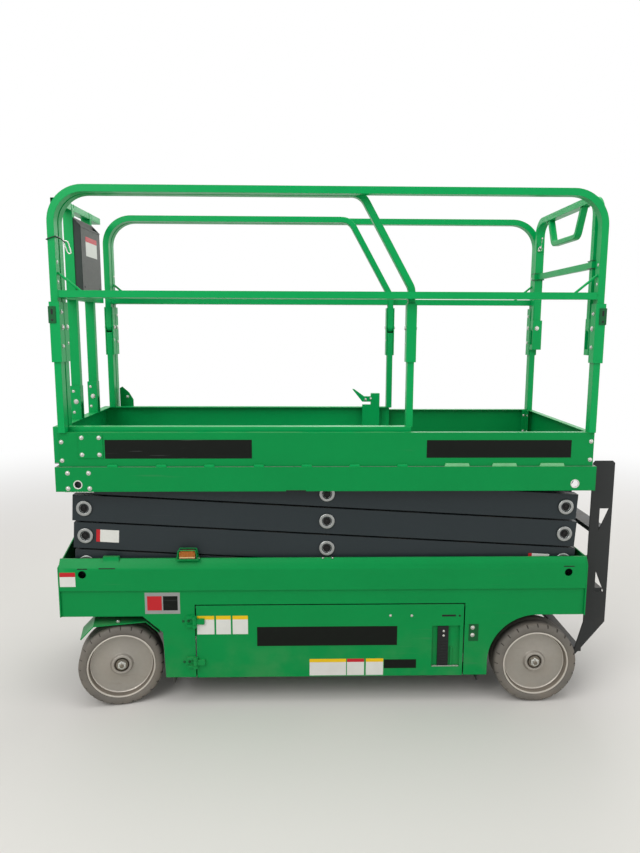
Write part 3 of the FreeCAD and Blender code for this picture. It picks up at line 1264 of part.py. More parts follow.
def side_frame(side, y, front_x, rear_x, bend_radius, slanted):
    """A side rail: two uprights, a top rail with bent corners and a mid rail."""
    ys = across(side, y)
    corner_z = f"rail_top - {bend_radius}"
    deep = around(ys, "tube_depth")
    pieces = [upright(front_x, side, y, corner_z)]
    pieces.append(bend("xz", (f"{front_x} + {bend_radius}", ys, corner_z), bend_radius, 90))
    if slanted:
        pieces.append(upright(rear_x, side, y, "brace_drop"))
        pieces.append(block((f"{front_x} + {bend_radius}", "brace_front_x"), deep, around("rail_top", "tube_half")))
        pieces += slanted_rail(rear_x, ys)
    else:
        pieces.append(upright(rear_x, side, y, corner_z))
        pieces.append(block((f"{front_x} + {bend_radius}", f"{rear_x} - {bend_radius}"), deep,
                            around("rail_top", "tube_half")))
        pieces.append(bend("xz", (f"{rear_x} - {bend_radius}", ys, corner_z), bend_radius, 0))
        pieces.append(corner_brace(front_x, 1, ys))
        pieces.append(corner_brace(rear_x, -1, ys))
    pieces.append(block((front_x, rear_x), around(ys, "tube_depth - mid_inset"), around("mid_rail", "tube_half")))
    bolts = [rod("x", ys, "rail_pivot", *around(x, "tube_half + bore_past"), "pivot_bolt + fit")
             for x in (front_x, rear_x)]
    return cut(fuse(*pieces), *bolts)


for side, word in SIDES:
    part(f"side_rail_{word}", side_frame(side, "post_y", "post_front_x", "post_rear_x", "rail_bend", False))
    part(f"extension_rail_{word}", side_frame(side, "slide_post_y", "post_front_x", "slide_post_rear_x",
                                              "slide_bend", True))


# Slide-out deck

def extension_deck():
    floor = block(("slide_front", "slide_rear"), ("-slide_half", "slide_half"), (SLIDE_FLOOR, SLIDE_TOP))
    pads = [block(("platform_front + slide_pad_inset", "slide_rear"),
                  span(side, "slide_half - slide_pad_width", "slide_half"),
                  (f"{DECK_TOP} + slide_pad_gap", SLIDE_FLOOR)) for side, word in SIDES]
    return fuse(floor, *pads)


def extension_boards():
    """The toe boards of the slide-out deck, with its fixed posts, rail brackets and foot lock."""
    heights = (SLIDE_TOP, SLIDE_BOARD_TOP)
    lip_heights = (f"{SLIDE_BOARD_TOP} - sheet_wall", SLIDE_BOARD_TOP)
    lengths = ("slide_front", "slide_rear")
    pieces = []
    for side, word in SIDES:
        pieces.append(block(lengths, span(side, "slide_half - sheet_wall", "slide_half"), heights))
        pieces.append(block(lengths, span(side, "slide_half - slide_lip", "slide_half"), lip_heights))
        for x in ("post_front_x", "slide_post_rear_x"):
            pieces.append(fixed_post(x, side, "slide_post_y", f"{SLIDE_BOARD_TOP} - sheet_wall/2"))
        pieces.append(front_socket(side))
    pieces.append(block(("slide_front", "slide_front + sheet_wall"), ("-slide_half", "slide_half"), heights))
    pieces.append(block(("slide_front", "slide_front + slide_lip"), ("-slide_half", "slide_half"), lip_heights))
    return fuse(*pieces, *foot_lock())


def front_socket(side):
    gap = "(tube_half + bracket_gap)"
    heights = (f"{SLIDE_BOARD_TOP} - sheet_wall/2", FRONT_SOCKET_TOP)
    cheeks = []
    for low, high in ((f"front_post_y - {gap} - bracket_wall", f"front_post_y - {gap}"),
                      (f"front_post_y + {gap}", f"front_post_y + {gap} + bracket_wall")):
        cheeks.append(block(("slide_front", "front_rail_x + tube_depth"), span(side, low, high), heights))
    web = block(("slide_front", "slide_front + bracket_wall/2"),
                around(across(side, "front_post_y"), f"{gap} + bracket_wall"), heights)
    bolt = rod("y", "front_rail_x", FRONT_PIVOT, *around(across(side, "front_post_y"), gap), "pivot_bolt")
    return fuse(*cheeks, web, bolt)


def foot_lock():
    """The plate, block and pedal that lock the slide-out deck, on its right toe board."""
    inner = "slide_half - slide_lip"
    base = block(around("pedal_x", "pedal_half"), span(RIGHT, f"{inner} - pedal_wall", f"{inner} + pedal_wall"),
                 (f"{SLIDE_BOARD_TOP} - pedal_drop", f"{SLIDE_BOARD_TOP} + pedal_rise"))
    body = block(("pedal_x", "pedal_x + pedal_half"),
                 span(RIGHT, f"{inner} - pedal_wall", f"{inner} - pedal_wall + pedal_block_depth"),
                 (f"{SLIDE_BOARD_TOP} + pedal_rise/2", f"{SLIDE_BOARD_TOP} + pedal_block_rise"))
    pedal_xz = [
        ("pedal_x + pedal_wall", f"{SLIDE_BOARD_TOP} + pedal_rise*2"),
        ("pedal_x - pedal_half", f"{SLIDE_BOARD_TOP} + pedal_rise*2"),
        ("pedal_x - pedal_tip", f"{SLIDE_BOARD_TOP} + pedal_tip_rise"),
        ("pedal_x - pedal_tip + pedal_wall*2", f"{SLIDE_BOARD_TOP} + pedal_tip_rise"),
        ("pedal_x - pedal_half + pedal_wall*2", f"{SLIDE_BOARD_TOP} + pedal_rise*4"),
        ("pedal_x + pedal_wall", f"{SLIDE_BOARD_TOP} + pedal_rise*4"),
    ]
    return [base, body, plate("xz", pedal_xz, *span(RIGHT, f"{inner} - pedal_wall/2", f"{inner} + pedal_block_depth/2"))]


part("extension_deck", extension_deck())
part("extension_boards", extension_boards())


# Front rail frame of the slide-out deck, and the document box on it

def cross_upright(x, side, y, pivot, top):
    """An upright whose pivot eye lies across the machine."""
    bar = block(around(x, "tube_depth"), around(across(side, y), "tube_half"), (pivot, top))
    eye = rod("y", x, pivot, *around(across(side, y), "tube_half - eye_inset"), "tube_depth + eye_proud")
    return fuse(bar, eye)


def cross_bolt(x, side, y, pivot):
    return rod("y", x, pivot, *around(across(side, y), "tube_half + bore_past"), "pivot_bolt + fit")


def front_rail():
    pieces = [cross_upright("front_rail_x", side, "front_post_y", FRONT_PIVOT, "front_rail_top")
              for side, word in SIDES]
    for height in ("mid_rail", "front_rail_top"):
        pieces.append(block(around("front_rail_x", "tube_depth - mid_inset"), ("-front_bar_half", "front_bar_half"),
                            around(height, "tube_half")))
    bolts = [cross_bolt("front_rail_x", side, "front_post_y", FRONT_PIVOT) for side, word in SIDES]
    return cut(fuse(*pieces), *bolts)


def document_box():
    front = "front_rail_x + tube_depth"
    shell_xz = [
        (front, "box_bottom"),
        (f"{front} + box_depth", "box_bottom"),
        (f"{front} + box_depth", "box_top - box_slope"),
        (front, "box_top"),
    ]
    shell = plate("xz", shell_xz, "box_left", "box_right")
    room = block((f"{front} + box_wall", f"{front} + box_depth - box_wall"),
                 ("box_left + box_wall", "box_right - box_wall"),
                 ("box_bottom + box_wall", "box_top + bore_past"))
    return cut(shell, room)


part("front_rail", front_rail())
part("document_box", document_box())


# Entry frame with its sliding bar

def entry_frame():
    corner_z = "entry_top - entry_bend"
    low_half = "(grab_half - grab_lean)"
    rise = "(entry_top - grab_bottom)"
    length = f"sqrt(grab_lean*grab_lean + {rise}*{rise})"
    out_y = f"grab_tube*{rise}/{length}"
    out_z = f"grab_tube*grab_lean/{length}"
    grab_xs = around("entry_x", "grab_depth")
    pieces = []
    for side, word in SIDES:
        pieces.append(cross_upright("entry_x", side, "entry_y", "rail_pivot", corner_z))
        pieces.append(bend("yz", ("entry_x", across(side, "(entry_y - entry_bend)"), corner_z), "entry_bend",
                           0 if side > 0 else 90))
        leg_yz = [
            (f"{low_half} - {out_y}", f"grab_bottom + {out_z}"),
            (f"{low_half} + {out_y}", f"grab_bottom - {out_z}"),
            (f"grab_half + {out_y}", f"entry_top - {out_z}"),
            (f"grab_half - {out_y}", f"entry_top + {out_z}"),
        ]
        pieces.append(plate("yz", [(across(side, y), z) for y, z in leg_yz], *grab_xs))
        pieces.append(rod("x", across(side, low_half), "grab_bottom", *around("entry_x", "grab_depth - mid_inset"),
                          "grab_tube + eye_proud"))
    pieces.append(block(around("entry_x", "tube_depth"), ("-(entry_y - entry_bend)", "entry_y - entry_bend"),
                        around("entry_top", "tube_half")))
    pieces.append(block(grab_xs, (neg(low_half), low_half), around("grab_bottom", "grab_tube")))
    bolts = [cross_bolt("entry_x", side, "entry_y", "rail_pivot") for side, word in SIDES]
    return cut(fuse(*pieces), *bolts)


def entry_bar():
    """The bar that slides up the entry frame, with a collar round each of its posts."""
    reach = "entry_y - tube_half - ring_gap - ring_wall/2"
    bar = block(around("entry_x", "entry_bar_depth"), (neg(reach), reach), around("entry_bar_z", "entry_bar_half"))
    collars = []
    for side, word in SIDES:
        y = across(side, "entry_y")
        outside = block(around("entry_x", "tube_depth + ring_gap + ring_wall"),
                        around(y, "tube_half + ring_gap + ring_wall"), around("entry_bar_z", "ring_half"))
        inside = block(around("entry_x", "tube_depth + ring_gap"), around(y, "tube_half + ring_gap"),
                       around("entry_bar_z", "ring_half + bore_past"))
        collars.append(cut(outside, inside))
    return fuse(bar, *collars)


part("entry_frame", entry_frame())
part("entry_bar", entry_bar())

doc.recompute()

bad = [f"{thing.Name} {thing.Label} {thing.State}" for thing in doc.Objects
       if "Invalid" in thing.State or "Error" in thing.State]
if bad:
    raise RuntimeError("failed: " + "; ".join(bad))
for thing in PARTS:
    if thing.Shape.isNull() or not thing.Shape.isValid():
        raise RuntimeError(f"{thing.Label} has no valid shape")

os.makedirs("parts", exist_ok=True)
for thing in PARTS:
    thing.Shape.exportStep(f"parts/{thing.Label}.step")
    box = thing.Shape.BoundBox
    print(f"{thing.Label:24s} solids {len(thing.Shape.Solids)} volume {thing.Shape.Volume/1e6:9.3f} L",
          f"x {box.XMin:.1f} {box.XMax:.1f} y {box.YMin:.1f} {box.YMax:.1f} z {box.ZMin:.1f} {box.ZMax:.1f}")
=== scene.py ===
"""A small electric scissor lift: the finish of its frame, its tyres and rims, and the fittings on it.

Lengths in the tables are in millimetres, in the frame of the model: X to the rear, where the ladder is,
Y to the right side and Z up, from the ground under the middle of the machine.
"""
import json
import math

import bmesh
import bpy
from mathutils import Matrix, Vector


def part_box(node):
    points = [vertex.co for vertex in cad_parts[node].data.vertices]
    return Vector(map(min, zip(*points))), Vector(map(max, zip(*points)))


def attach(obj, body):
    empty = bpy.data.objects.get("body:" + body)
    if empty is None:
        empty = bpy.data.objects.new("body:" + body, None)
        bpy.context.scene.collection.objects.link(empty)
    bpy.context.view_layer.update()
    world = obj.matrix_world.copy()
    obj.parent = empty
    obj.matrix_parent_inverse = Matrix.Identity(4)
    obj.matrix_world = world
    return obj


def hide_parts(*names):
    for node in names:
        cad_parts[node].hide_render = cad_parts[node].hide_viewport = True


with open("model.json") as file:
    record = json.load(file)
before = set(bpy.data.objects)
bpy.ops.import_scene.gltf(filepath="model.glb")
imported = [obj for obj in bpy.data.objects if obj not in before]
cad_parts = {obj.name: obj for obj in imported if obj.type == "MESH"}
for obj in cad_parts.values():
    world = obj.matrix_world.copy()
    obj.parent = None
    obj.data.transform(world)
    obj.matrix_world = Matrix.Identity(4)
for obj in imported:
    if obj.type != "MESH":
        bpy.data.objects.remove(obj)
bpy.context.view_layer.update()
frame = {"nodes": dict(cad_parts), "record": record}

MM = 0.001
SIDES = (("left", -1), ("right", 1))
LEVELS = (1, 2, 3, 4)
RECORD = frame["record"]
JOINTS = {joint["name"]: joint for joint in RECORD["behaviour"]["joints"]}


def side_face(node, side):
    """|Y| of the outer face of a CAD node, in millimetres."""
    low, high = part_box(node)
    return abs(high.y if side > 0 else low.y) / MM


# Shader groups

def new_group(name, inputs, outputs):
    """An empty shader group with named sockets: inputs are (name, kind, value) and outputs (name, kind)."""
    tree = bpy.data.node_groups.new(name, "ShaderNodeTree")
    for label, kind, value in inputs:
        socket = tree.interface.new_socket(name=label, in_out="INPUT", socket_type=f"NodeSocket{kind}")
        socket.default_value = value
    for label, kind in outputs:
        tree.interface.new_socket(name=label, in_out="OUTPUT", socket_type=f"NodeSocket{kind}")
    return tree, tree.nodes.new("NodeGroupInput"), tree.nodes.new("NodeGroupOutput")


def join(tree, source, target):
    tree.links.new(source, target)


def sums(tree, operation, first, second=None, clamp=False):
    """A maths node; its sides are sockets or numbers."""
    node = tree.nodes.new("ShaderNodeMath")
    node.operation = operation
    node.use_clamp = clamp
    for index, value in enumerate((first, second)):
        if value is None:
            continue
        if isinstance(value, (int, float)):
            node.inputs[index].default_value = value
        else:
            join(tree, value, node.inputs[index])
    return node.outputs[0]


def remap(tree, value, low, high, out_low=0.0, out_high=1.0):
    node = tree.nodes.new("ShaderNodeMapRange")
    node.interpolation_type = "SMOOTHSTEP"
    join(tree, value, node.inputs["Value"])
    for label, number in (("From Min", low), ("From Max", high), ("To Min", out_low), ("To Max", out_high)):
        node.inputs[label].default_value = number
    return node.outputs["Result"]


def noise(tree, scale, detail=4.0, stretch=None):
    """Noise over the piece's own coordinates. scale is a number or a socket."""
    place = tree.nodes.new("ShaderNodeTexCoord")
    source = place.outputs["Object"]
    if stretch:
        turn = tree.nodes.new("ShaderNodeMapping")
        turn.inputs["Scale"].default_value = stretch
        join(tree, source, turn.inputs["Vector"])
        source = turn.outputs["Vector"]
    node = tree.nodes.new("ShaderNodeTexNoise")
    node.inputs["Detail"].default_value = detail
    join(tree, source, node.inputs["Vector"])
    if isinstance(scale, (int, float)):
        node.inputs["Scale"].default_value = scale
    else:
        join(tree, scale, node.inputs["Scale"])
    return node.outputs["Fac"]


def colour_patches():
    """Slow changes of a colour's lightness over a surface."""
    tree, given, result = new_group("colour patches", (("Color", "Color", (1, 1, 1, 1)), ("Scale", "Float", 3.0),
                                                       ("Amount", "Float", 0.1)), (("Color", "Color"),))
    broad = noise(tree, given.outputs["Scale"], 3.0)
    fine = noise(tree, sums(tree, "MULTIPLY", given.outputs["Scale"], 11.0), 5.0)
    both = sums(tree, "ADD", sums(tree, "MULTIPLY", broad, 0.7), sums(tree, "MULTIPLY", fine, 0.3))
    shift = sums(tree, "MULTIPLY", sums(tree, "SUBTRACT", both, 0.5), given.outputs["Amount"])
    change = tree.nodes.new("ShaderNodeHueSaturation")
    join(tree, sums(tree, "ADD", sums(tree, "MULTIPLY", shift, 4.0), 1.0), change.inputs["Value"])
    join(tree, given.outputs["Color"], change.inputs["Color"])
    join(tree, change.outputs["Color"], result.inputs["Color"])
    return tree


def rubbed_edges():
    """A mask of the edges and corners where paint has rubbed thin."""
    tree, given, result = new_group("rubbed edges", (("Width", "Float", 0.002), ("Amount", "Float", 0.5),
                                                     ("Scale", "Float", 30.0)), (("Mask", "Float"),))
    rounded = tree.nodes.new("ShaderNodeBevel")
    rounded.samples = 4
    join(tree, given.outputs["Width"], rounded.inputs["Radius"])
    flat = tree.nodes.new("ShaderNodeNewGeometry")
    turn = tree.nodes.new("ShaderNodeVectorMath")
    turn.operation = "DOT_PRODUCT"
    join(tree, rounded.outputs["Normal"], turn.inputs[0])
    join(tree, flat.outputs["Normal"], turn.inputs[1])
    edge = remap(tree, sums(tree, "SUBTRACT", 1.0, turn.outputs["Value"]), 0.02, 0.22)
    broken = remap(tree, noise(tree, given.outputs["Scale"], 6.0), 0.42, 0.66)
    mask = sums(tree, "MULTIPLY", sums(tree, "MULTIPLY", edge, broken), given.outputs["Amount"], clamp=True)
    join(tree, mask, result.inputs["Mask"])
    return tree


def settled_dust():
    """A mask of dust on faces that look up, and of grime low down near the wheels."""
    tree, given, result = new_group("settled dust", (("On top", "Float", 0.3), ("Low down", "Float", 0.3),
                                                     ("Scale", "Float", 9.0)), (("Mask", "Float"),))
    shape = tree.nodes.new("ShaderNodeNewGeometry")
    split = tree.nodes.new("ShaderNodeSeparateXYZ")
    join(tree, shape.outputs["Normal"], split.inputs["Vector"])
    upward = remap(tree, split.outputs["Z"], 0.55, 0.98)
    place = tree.nodes.new("ShaderNodeTexCoord")
    height = tree.nodes.new("ShaderNodeSeparateXYZ")
    join(tree, place.outputs["Object"], height.inputs["Vector"])
    low = remap(tree, height.outputs["Z"], 0.42, 0.08)
    cloud = remap(tree, noise(tree, given.outputs["Scale"], 7.0), 0.36, 0.7)
    both = sums(tree, "ADD", sums(tree, "MULTIPLY", upward, given.outputs["On top"]),
                sums(tree, "MULTIPLY", low, given.outputs["Low down"]))
    join(tree, sums(tree, "MULTIPLY", both, cloud, clamp=True), result.inputs["Mask"])
    return tree


def fine_scratches():
    """A mask of thin scratches that run mostly along the machine."""
    tree, given, result = new_group("fine scratches", (("Scale", "Float", 30.0), ("Amount", "Float", 0.5)),
                                    (("Mask", "Float"),))
    lines = remap(tree, noise(tree, given.outputs["Scale"], 8.0, stretch=(0.12, 1.0, 2.4)), 0.63, 0.68)
    where = remap(tree, noise(tree, 2.3, 2.0), 0.5, 0.68)
    join(tree, sums(tree, "MULTIPLY", sums(tree, "MULTIPLY", lines, where), given.outputs["Amount"]),
         result.inputs["Mask"])
    return tree


def surface_grain():
    """The height of a fine even grain, such as sprayed paint, moulded plastic or cast metal."""
    tree, given, result = new_group("surface grain", (("Scale", "Float", 400.0), ("Roughness", "Float", 0.5)),
                                    (("Height", "Float"),))
    node = noise(tree, given.outputs["Scale"], 2.0).node
    join(tree, given.outputs["Roughness"], node.inputs["Roughness"])
    join(tree, node.outputs["Fac"], result.inputs["Height"])
    return tree


def soft_corners():
    """The normal of a surface whose sharp corners are rounded off."""
    tree, given, result = new_group("soft corners", (("Radius", "Float", 0.002),), (("Normal", "Vector"),))
    rounded = tree.nodes.new("ShaderNodeBevel")
    rounded.samples = 4
    join(tree, given.outputs["Radius"], rounded.inputs["Radius"])
    join(tree, rounded.outputs["Normal"], result.inputs["Normal"])
    return tree


def tread_plate():
    """The height of the raised bars of an anti-slip deck plate."""
    tree, given, result = new_group("tread plate", (("Scale", "Float", 28.0),), (("Height", "Float"),))
    place = tree.nodes.new("ShaderNodeTexCoord")
    turned = []
    for angle, stretch in ((45, (1.0, 3.2, 1.0)), (-45, (1.0, 3.2, 1.0))):
        turn = tree.nodes.new("ShaderNodeMapping")
        turn.inputs["Rotation"].default_value = (0, 0, math.radians(angle))
        turn.inputs["Scale"].default_value = stretch
        cells = tree.nodes.new("ShaderNodeTexVoronoi")
        cells.inputs["Randomness"].default_value = 0.0
        join(tree, place.outputs["Object"], turn.inputs["Vector"])
        join(tree, turn.outputs["Vector"], cells.inputs["Vector"])
        join(tree, given.outputs["Scale"], cells.inputs["Scale"])
        turned.append(remap(tree, cells.outputs["Distance"], 0.34, 0.22))
    join(tree, sums(tree, "MAXIMUM", turned[0], turned[1]), result.inputs["Height"])
    return tree


GROUPS = {
    "patches": colour_patches(),
    "edges": rubbed_edges(),
    "dust": settled_dust(),
    "scratches": fine_scratches(),
    "grain": surface_grain(),
    "corners": soft_corners(),
    "tread": tread_plate(),
}


# Materials

def shade(red, green, blue):
    """A colour given as it looks on a screen, 0 to 255, as the shader's linear values."""
    values = []
    for part in (red, green, blue):
        part = part / 255
        values.append(part / 12.92 if part <= 0.04045 else ((part + 0.055) / 1.055) ** 2.4)
    return (*values, 1.0)


DUST = shade(168, 152, 130)
PRIMER = shade(96, 100, 98)


def place_group(tree, name, **values):
    node = tree.nodes.new("ShaderNodeGroup")
    node.node_tree = GROUPS[name]
    for label, value in values.items():
        node.inputs[label.replace("_", " ")].default_value = value
    return node


def mix_colour(tree, mask, below, above):
    node = tree.nodes.new("ShaderNodeMix")
    node.data_type = "RGBA"
    join(tree, mask, node.inputs["Factor"])
    for value, label in ((below, "A"), (above, "B")):
        socket = next(s for s in node.inputs if s.name == label and s.type == "RGBA")
        if isinstance(value, tuple):
            socket.default_value = value
        else:
            join(tree, value, socket)
    return next(s for s in node.outputs if s.type == "RGBA")


def blank_material(name):
    material = bpy.data.materials.new(name)
    material.use_nodes = True
    return material, material.node_tree, material.node_tree.nodes["Principled BSDF"]


def surface(name, colour, rough, metal=0.0, patches=(3.0, 0.06), edges=None, dust=None, scratches=None,
            grain=(420.0, 0.0002), corner=0.0015, coat=0.0, tread=0.0, under=PRIMER, rough_spread=0.08, shine=0.25):
    """A finish built from the groups. patches is (scale, amount), edges (width, amount), dust (on top, low down),
    scratches (scale, amount) and grain (scale, depth in metres); corner is the radius of softened corners."""
    material, tree, skin = blank_material(name)
    skin.inputs["Metallic"].default_value = metal
    skin.inputs["Coat Weight"].default_value = coat
    skin.inputs["Coat Roughness"].default_value = 0.15
    skin.inputs["Specular IOR Level"].default_value = shine
    spread = place_group(tree, "patches", Color=colour, Scale=patches[0], Amount=patches[1])
    result = spread.outputs["Color"]
    rough_now = sums(tree, "ADD", sums(tree, "MULTIPLY", noise(tree, patches[0] * 6, 5.0), rough_spread * 2),
                     rough - rough_spread)
    if scratches:
        marks = place_group(tree, "scratches", Scale=scratches[0], Amount=scratches[1])
        result = mix_colour(tree, marks.outputs["Mask"], result, under)
        rough_now = sums(tree, "ADD", rough_now, sums(tree, "MULTIPLY", marks.outputs["Mask"], 0.25), clamp=True)
    if edges:
        rubbed = place_group(tree, "edges", Width=edges[0], Amount=edges[1])
        result = mix_colour(tree, rubbed.outputs["Mask"], result, under)
    if dust:
        settled = place_group(tree, "dust", On_top=dust[0], Low_down=dust[1])
        result = mix_colour(tree, settled.outputs["Mask"], result, DUST)
        rough_now = sums(tree, "ADD", rough_now, sums(tree, "MULTIPLY", settled.outputs["Mask"], 0.45), clamp=True)
    join(tree, result, skin.inputs["Base Color"])
    join(tree, rough_now, skin.inputs["Roughness"])
    height = place_group(tree, "grain", Scale=grain[0]).outputs["Height"]
    bump = tree.nodes.new("ShaderNodeBump")
    bump.inputs["Distance"].default_value = grain[1]
    if tread:
        raised = place_group(tree, "tread").outputs["Height"]
        height = sums(tree, "ADD", sums(tree, "MULTIPLY", height, grain[1] / tread), raised)
        bump.inputs["Distance"].default_value = tread
    join(tree, height, bump.inputs["Height"])
    if corner:
        join(tree, place_group(tree, "corners", Radius=corner).outputs["Normal"], bump.inputs["Normal"])
    join(tree, bump.outputs["Normal"], skin.inputs["Normal"])
    return material


CHASSIS_PAINT = shade(0, 136, 66)
RAIL_PAINT = shade(0, 156, 80)

FINISHES = {
    "chassis_green": surface("chassis paint", CHASSIS_PAINT, 0.38, edges=(0.0018, 0.3), dust=(0.1, 0.07),
                             scratches=(26.0, 0.12), shine=0.14),
    "rail_green": surface("rail paint", RAIL_PAINT, 0.34, edges=(0.0015, 0.2), dust=(0.06, 0.0),
                          scratches=(34.0, 0.1), shine=0.16),
    "frame_dark": surface("dark frame paint", shade(44, 46, 46), 0.45, edges=(0.0018, 0.4), dust=(0.1, 0.1),
                          patches=(4.0, 0.1)),
    "arm_charcoal": surface("charcoal arm paint", shade(38, 46, 49), 0.4, edges=(0.0015, 0.3),
                            dust=(0.1, 0.0), scratches=(20.0, 0.1)),
    "deck_grey": surface("deck plate", shade(128, 131, 130), 0.5, metal=0.3, dust=(0.12, 0.0),
                         patches=(5.0, 0.12), scratches=(40.0, 0.5), tread=0.0012, corner=0.001),
    "bare_steel": surface("zinc plate", shade(158, 160, 158), 0.34, metal=0.9, patches=(40.0, 0.12),
                          grain=(900.0, 0.00008), dust=(0.1, 0.1), under=shade(90, 88, 84)),
    "rod_chrome": surface("hard chrome", shade(205, 208, 210), 0.1, metal=1.0, patches=(8.0, 0.03),
                          grain=(1500.0, 0.00001), rough_spread=0.03, corner=0.001),
    "tyre_grey": surface("grey rubber", shade(106, 102, 96), 0.78, patches=(7.0, 0.16), grain=(300.0, 0.0006),
                         dust=(0.1, 0.16), corner=0.0),
    "rim_silver": surface("rim paint", shade(160, 155, 147), 0.38, metal=0.5, patches=(6.0, 0.1),
                          dust=(0.1, 0.15), scratches=(30.0, 0.35), edges=(0.0012, 0.5), under=shade(120, 112, 102)),
    "battery_case": surface("battery case", shade(38, 39, 42), 0.55, patches=(9.0, 0.1), grain=(600.0, 0.0004),
                            dust=(0.4, 0.0)),
    "box_grey": surface("document box plastic", shade(84, 86, 82), 0.55, patches=(6.0, 0.08),
                        grain=(700.0, 0.0005), dust=(0.2, 0.0), corner=0.003),
    "amber_lens": surface("amber lens", shade(176, 98, 10), 0.16, patches=(20.0, 0.12), grain=(200.0, 0.0002),
                          coat=0.6, corner=0.001),
}
BLACK_VINYL = surface("black strip", shade(16, 20, 16), 0.42, shine=0.12, patches=(12.0, 0.12), scratches=(50.0, 0.25),
                      grain=(900.0, 0.00005), corner=0.0)
WHITE_VINYL = surface("white label", shade(214, 214, 208), 0.42, patches=(14.0, 0.05), grain=(900.0, 0.00005),
                      dust=(0.2, 0.15), corner=0.0)
YELLOW_VINYL = surface("yellow label band", shade(226, 186, 20), 0.42, patches=(14.0, 0.05),
                       grain=(900.0, 0.00005), corner=0.0)
RED_VINYL = surface("red label band", shade(186, 30, 38), 0.42, patches=(14.0, 0.06), grain=(900.0, 0.00005),
                    corner=0.0)
GREY_PLATE = surface("grey name plate", shade(150, 152, 150), 0.36, metal=0.4, patches=(10.0, 0.06),
                     grain=(900.0, 0.00005), corner=0.0)
BOLT_ZINC = surface("bright bolt zinc", shade(196, 196, 190), 0.26, metal=0.85, patches=(60.0, 0.12),
                    grain=(1200.0, 0.00006), corner=0.0005)
DARK_STEEL_AND_SHADE = surface("blackened steel and painted shade", shade(40, 40, 40), 0.4, metal=0.7, patches=(50.0, 0.15),
                     grain=(900.0, 0.0001), dust=(0.15, 0.2))
SHADED_TYRE_NOTCH = surface("painted shade in tyre notch", shade(58, 54, 50), 0.85, patches=(9.0, 0.1), grain=(300.0, 0.0005), corner=0.0)
RIM_HIGHLIGHT = surface("painted highlight on rim lip", shade(196, 190, 180), 0.42, metal=0.35, patches=(14.0, 0.06),
                  grain=(900.0, 0.0001), corner=0.0)
RIM_WALL = surface("shaded rim wall", shade(128, 120, 110), 0.45, metal=0.35, patches=(10.0, 0.14), corner=0.0)
SHADED_BOX_SIDE = surface("document box side in painted shade", shade(46, 54, 51), 0.55, patches=(6.0, 0.08), grain=(700.0, 0.0005))
TAB_HIGHLIGHT_PAINT = surface("tab paint with painted highlight", shade(118, 186, 132), 0.45, patches=(30.0, 0.15))
SHADED_HUB_RECESS = surface("painted shade in hub recess", shade(72, 64, 54), 0.4, metal=0.3, patches=(40.0, 0.2), corner=0.0)
DARK_PLATE_PAINT_AND_SHADE = surface("dark green plate paint and painted shade", shade(2, 84, 40), 0.45, patches=(8.0, 0.08))
WORN_ZINC = surface("worn zinc", shade(118, 112, 102), 0.38, metal=0.85, patches=(90.0, 0.25), dust=(0.3, 0.3),
                    grain=(700.0, 0.0002))
BLACK_GRIP = surface("black grip", shade(24, 26, 26), 0.5, patches=(20.0, 0.1), grain=(700.0, 0.0004))
CABLE_BLACK = surface("cable jacket", shade(26, 26, 28), 0.55, patches=(30.0, 0.1), grain=(900.0, 0.0002))
CABLE_RED = surface("red cable jacket", shade(150, 22, 24), 0.5, patches=(30.0, 0.1), grain=(900.0, 0.0002))
LENS_BAND = surface("bright lens band", shade(238, 196, 140), 0.2, patches=(30.0, 0.1), coat=0.6)
VINYLS = (BLACK_VINYL, WHITE_VINYL, YELLOW_VINYL, RED_VINYL, GREY_PLATE)
BLACK, WHITE, YELLOW, RED, GREY = range(5)


EDGE_WIDTHS = (
    ("side_rail", 3.2), ("extension_rail", 3.2), ("rail_posts", 3.2), ("front_rail", 3.2), ("entry_frame", 3.2),
    ("entry_bar", 2.5), ("arm_", 2.5), ("ladder", 1.2), ("toe_board", 1.0), ("platform_side", 1.2),
    ("extension_boards", 1.0), ("chassis_side", 1.2), ("chassis_ends", 1.5), ("knuckle", 1.5), ("door_", 1.0),
    ("pothole_guard", 1.2), ("base_frame", 1.5), ("front_axle", 1.5), ("rear_axle", 1.5),
)
def dress_frame():
    """Gives each CAD node the finish of its material slot, and rounds its edges as folded sheet and tube are."""
    for name, node in frame["nodes"].items():
        for index, slot in enumerate(node.material_slots):
            key = slot.material.name.split(".")[0] if slot.material else None
            if key in FINISHES:
                node.material_slots[index].material = FINISHES[key]
        width = next((value for start, value in EDGE_WIDTHS if name.startswith(start)), 0.0)
        if not width:
            continue
        merge = node.modifiers.new("joined faces", "WELD")
        merge.merge_threshold = 0.02 * MM
        flatten = node.modifiers.new("whole faces", "DECIMATE")
        flatten.decimate_type = "DISSOLVE"
        flatten.angle_limit = math.radians(0.4)
        soften = node.modifiers.new("rounded edges", "BEVEL")
        soften.width = width * MM
        soften.segments = 2
        soften.limit_method = "ANGLE"
        soften.angle_limit = math.radians(40)
        soften.use_clamp_overlap = True
        even = node.modifiers.new("even shading", "WEIGHTED_NORMAL")
        even.keep_sharp = False
        even.weight = 60


# Shapes, in millimetres

def point(x, y, z):
    return Vector((x, y, z)) * MM


def slab(mesh, xs, ys, zs, finish=0):
    """A flat-sided block between limits."""
    corners = [mesh.verts.new(point(x, y, z)) for x in sorted(xs) for y in sorted(ys) for z in sorted(zs)]
    for a, b, c, d in ((0, 1, 3, 2), (4, 6, 7, 5), (0, 4, 5, 1), (2, 3, 7, 6), (0, 2, 6, 4), (1, 5, 7, 3)):
        face = mesh.faces.new((corners[a], corners[b], corners[c], corners[d]))
        face.material_index = finish


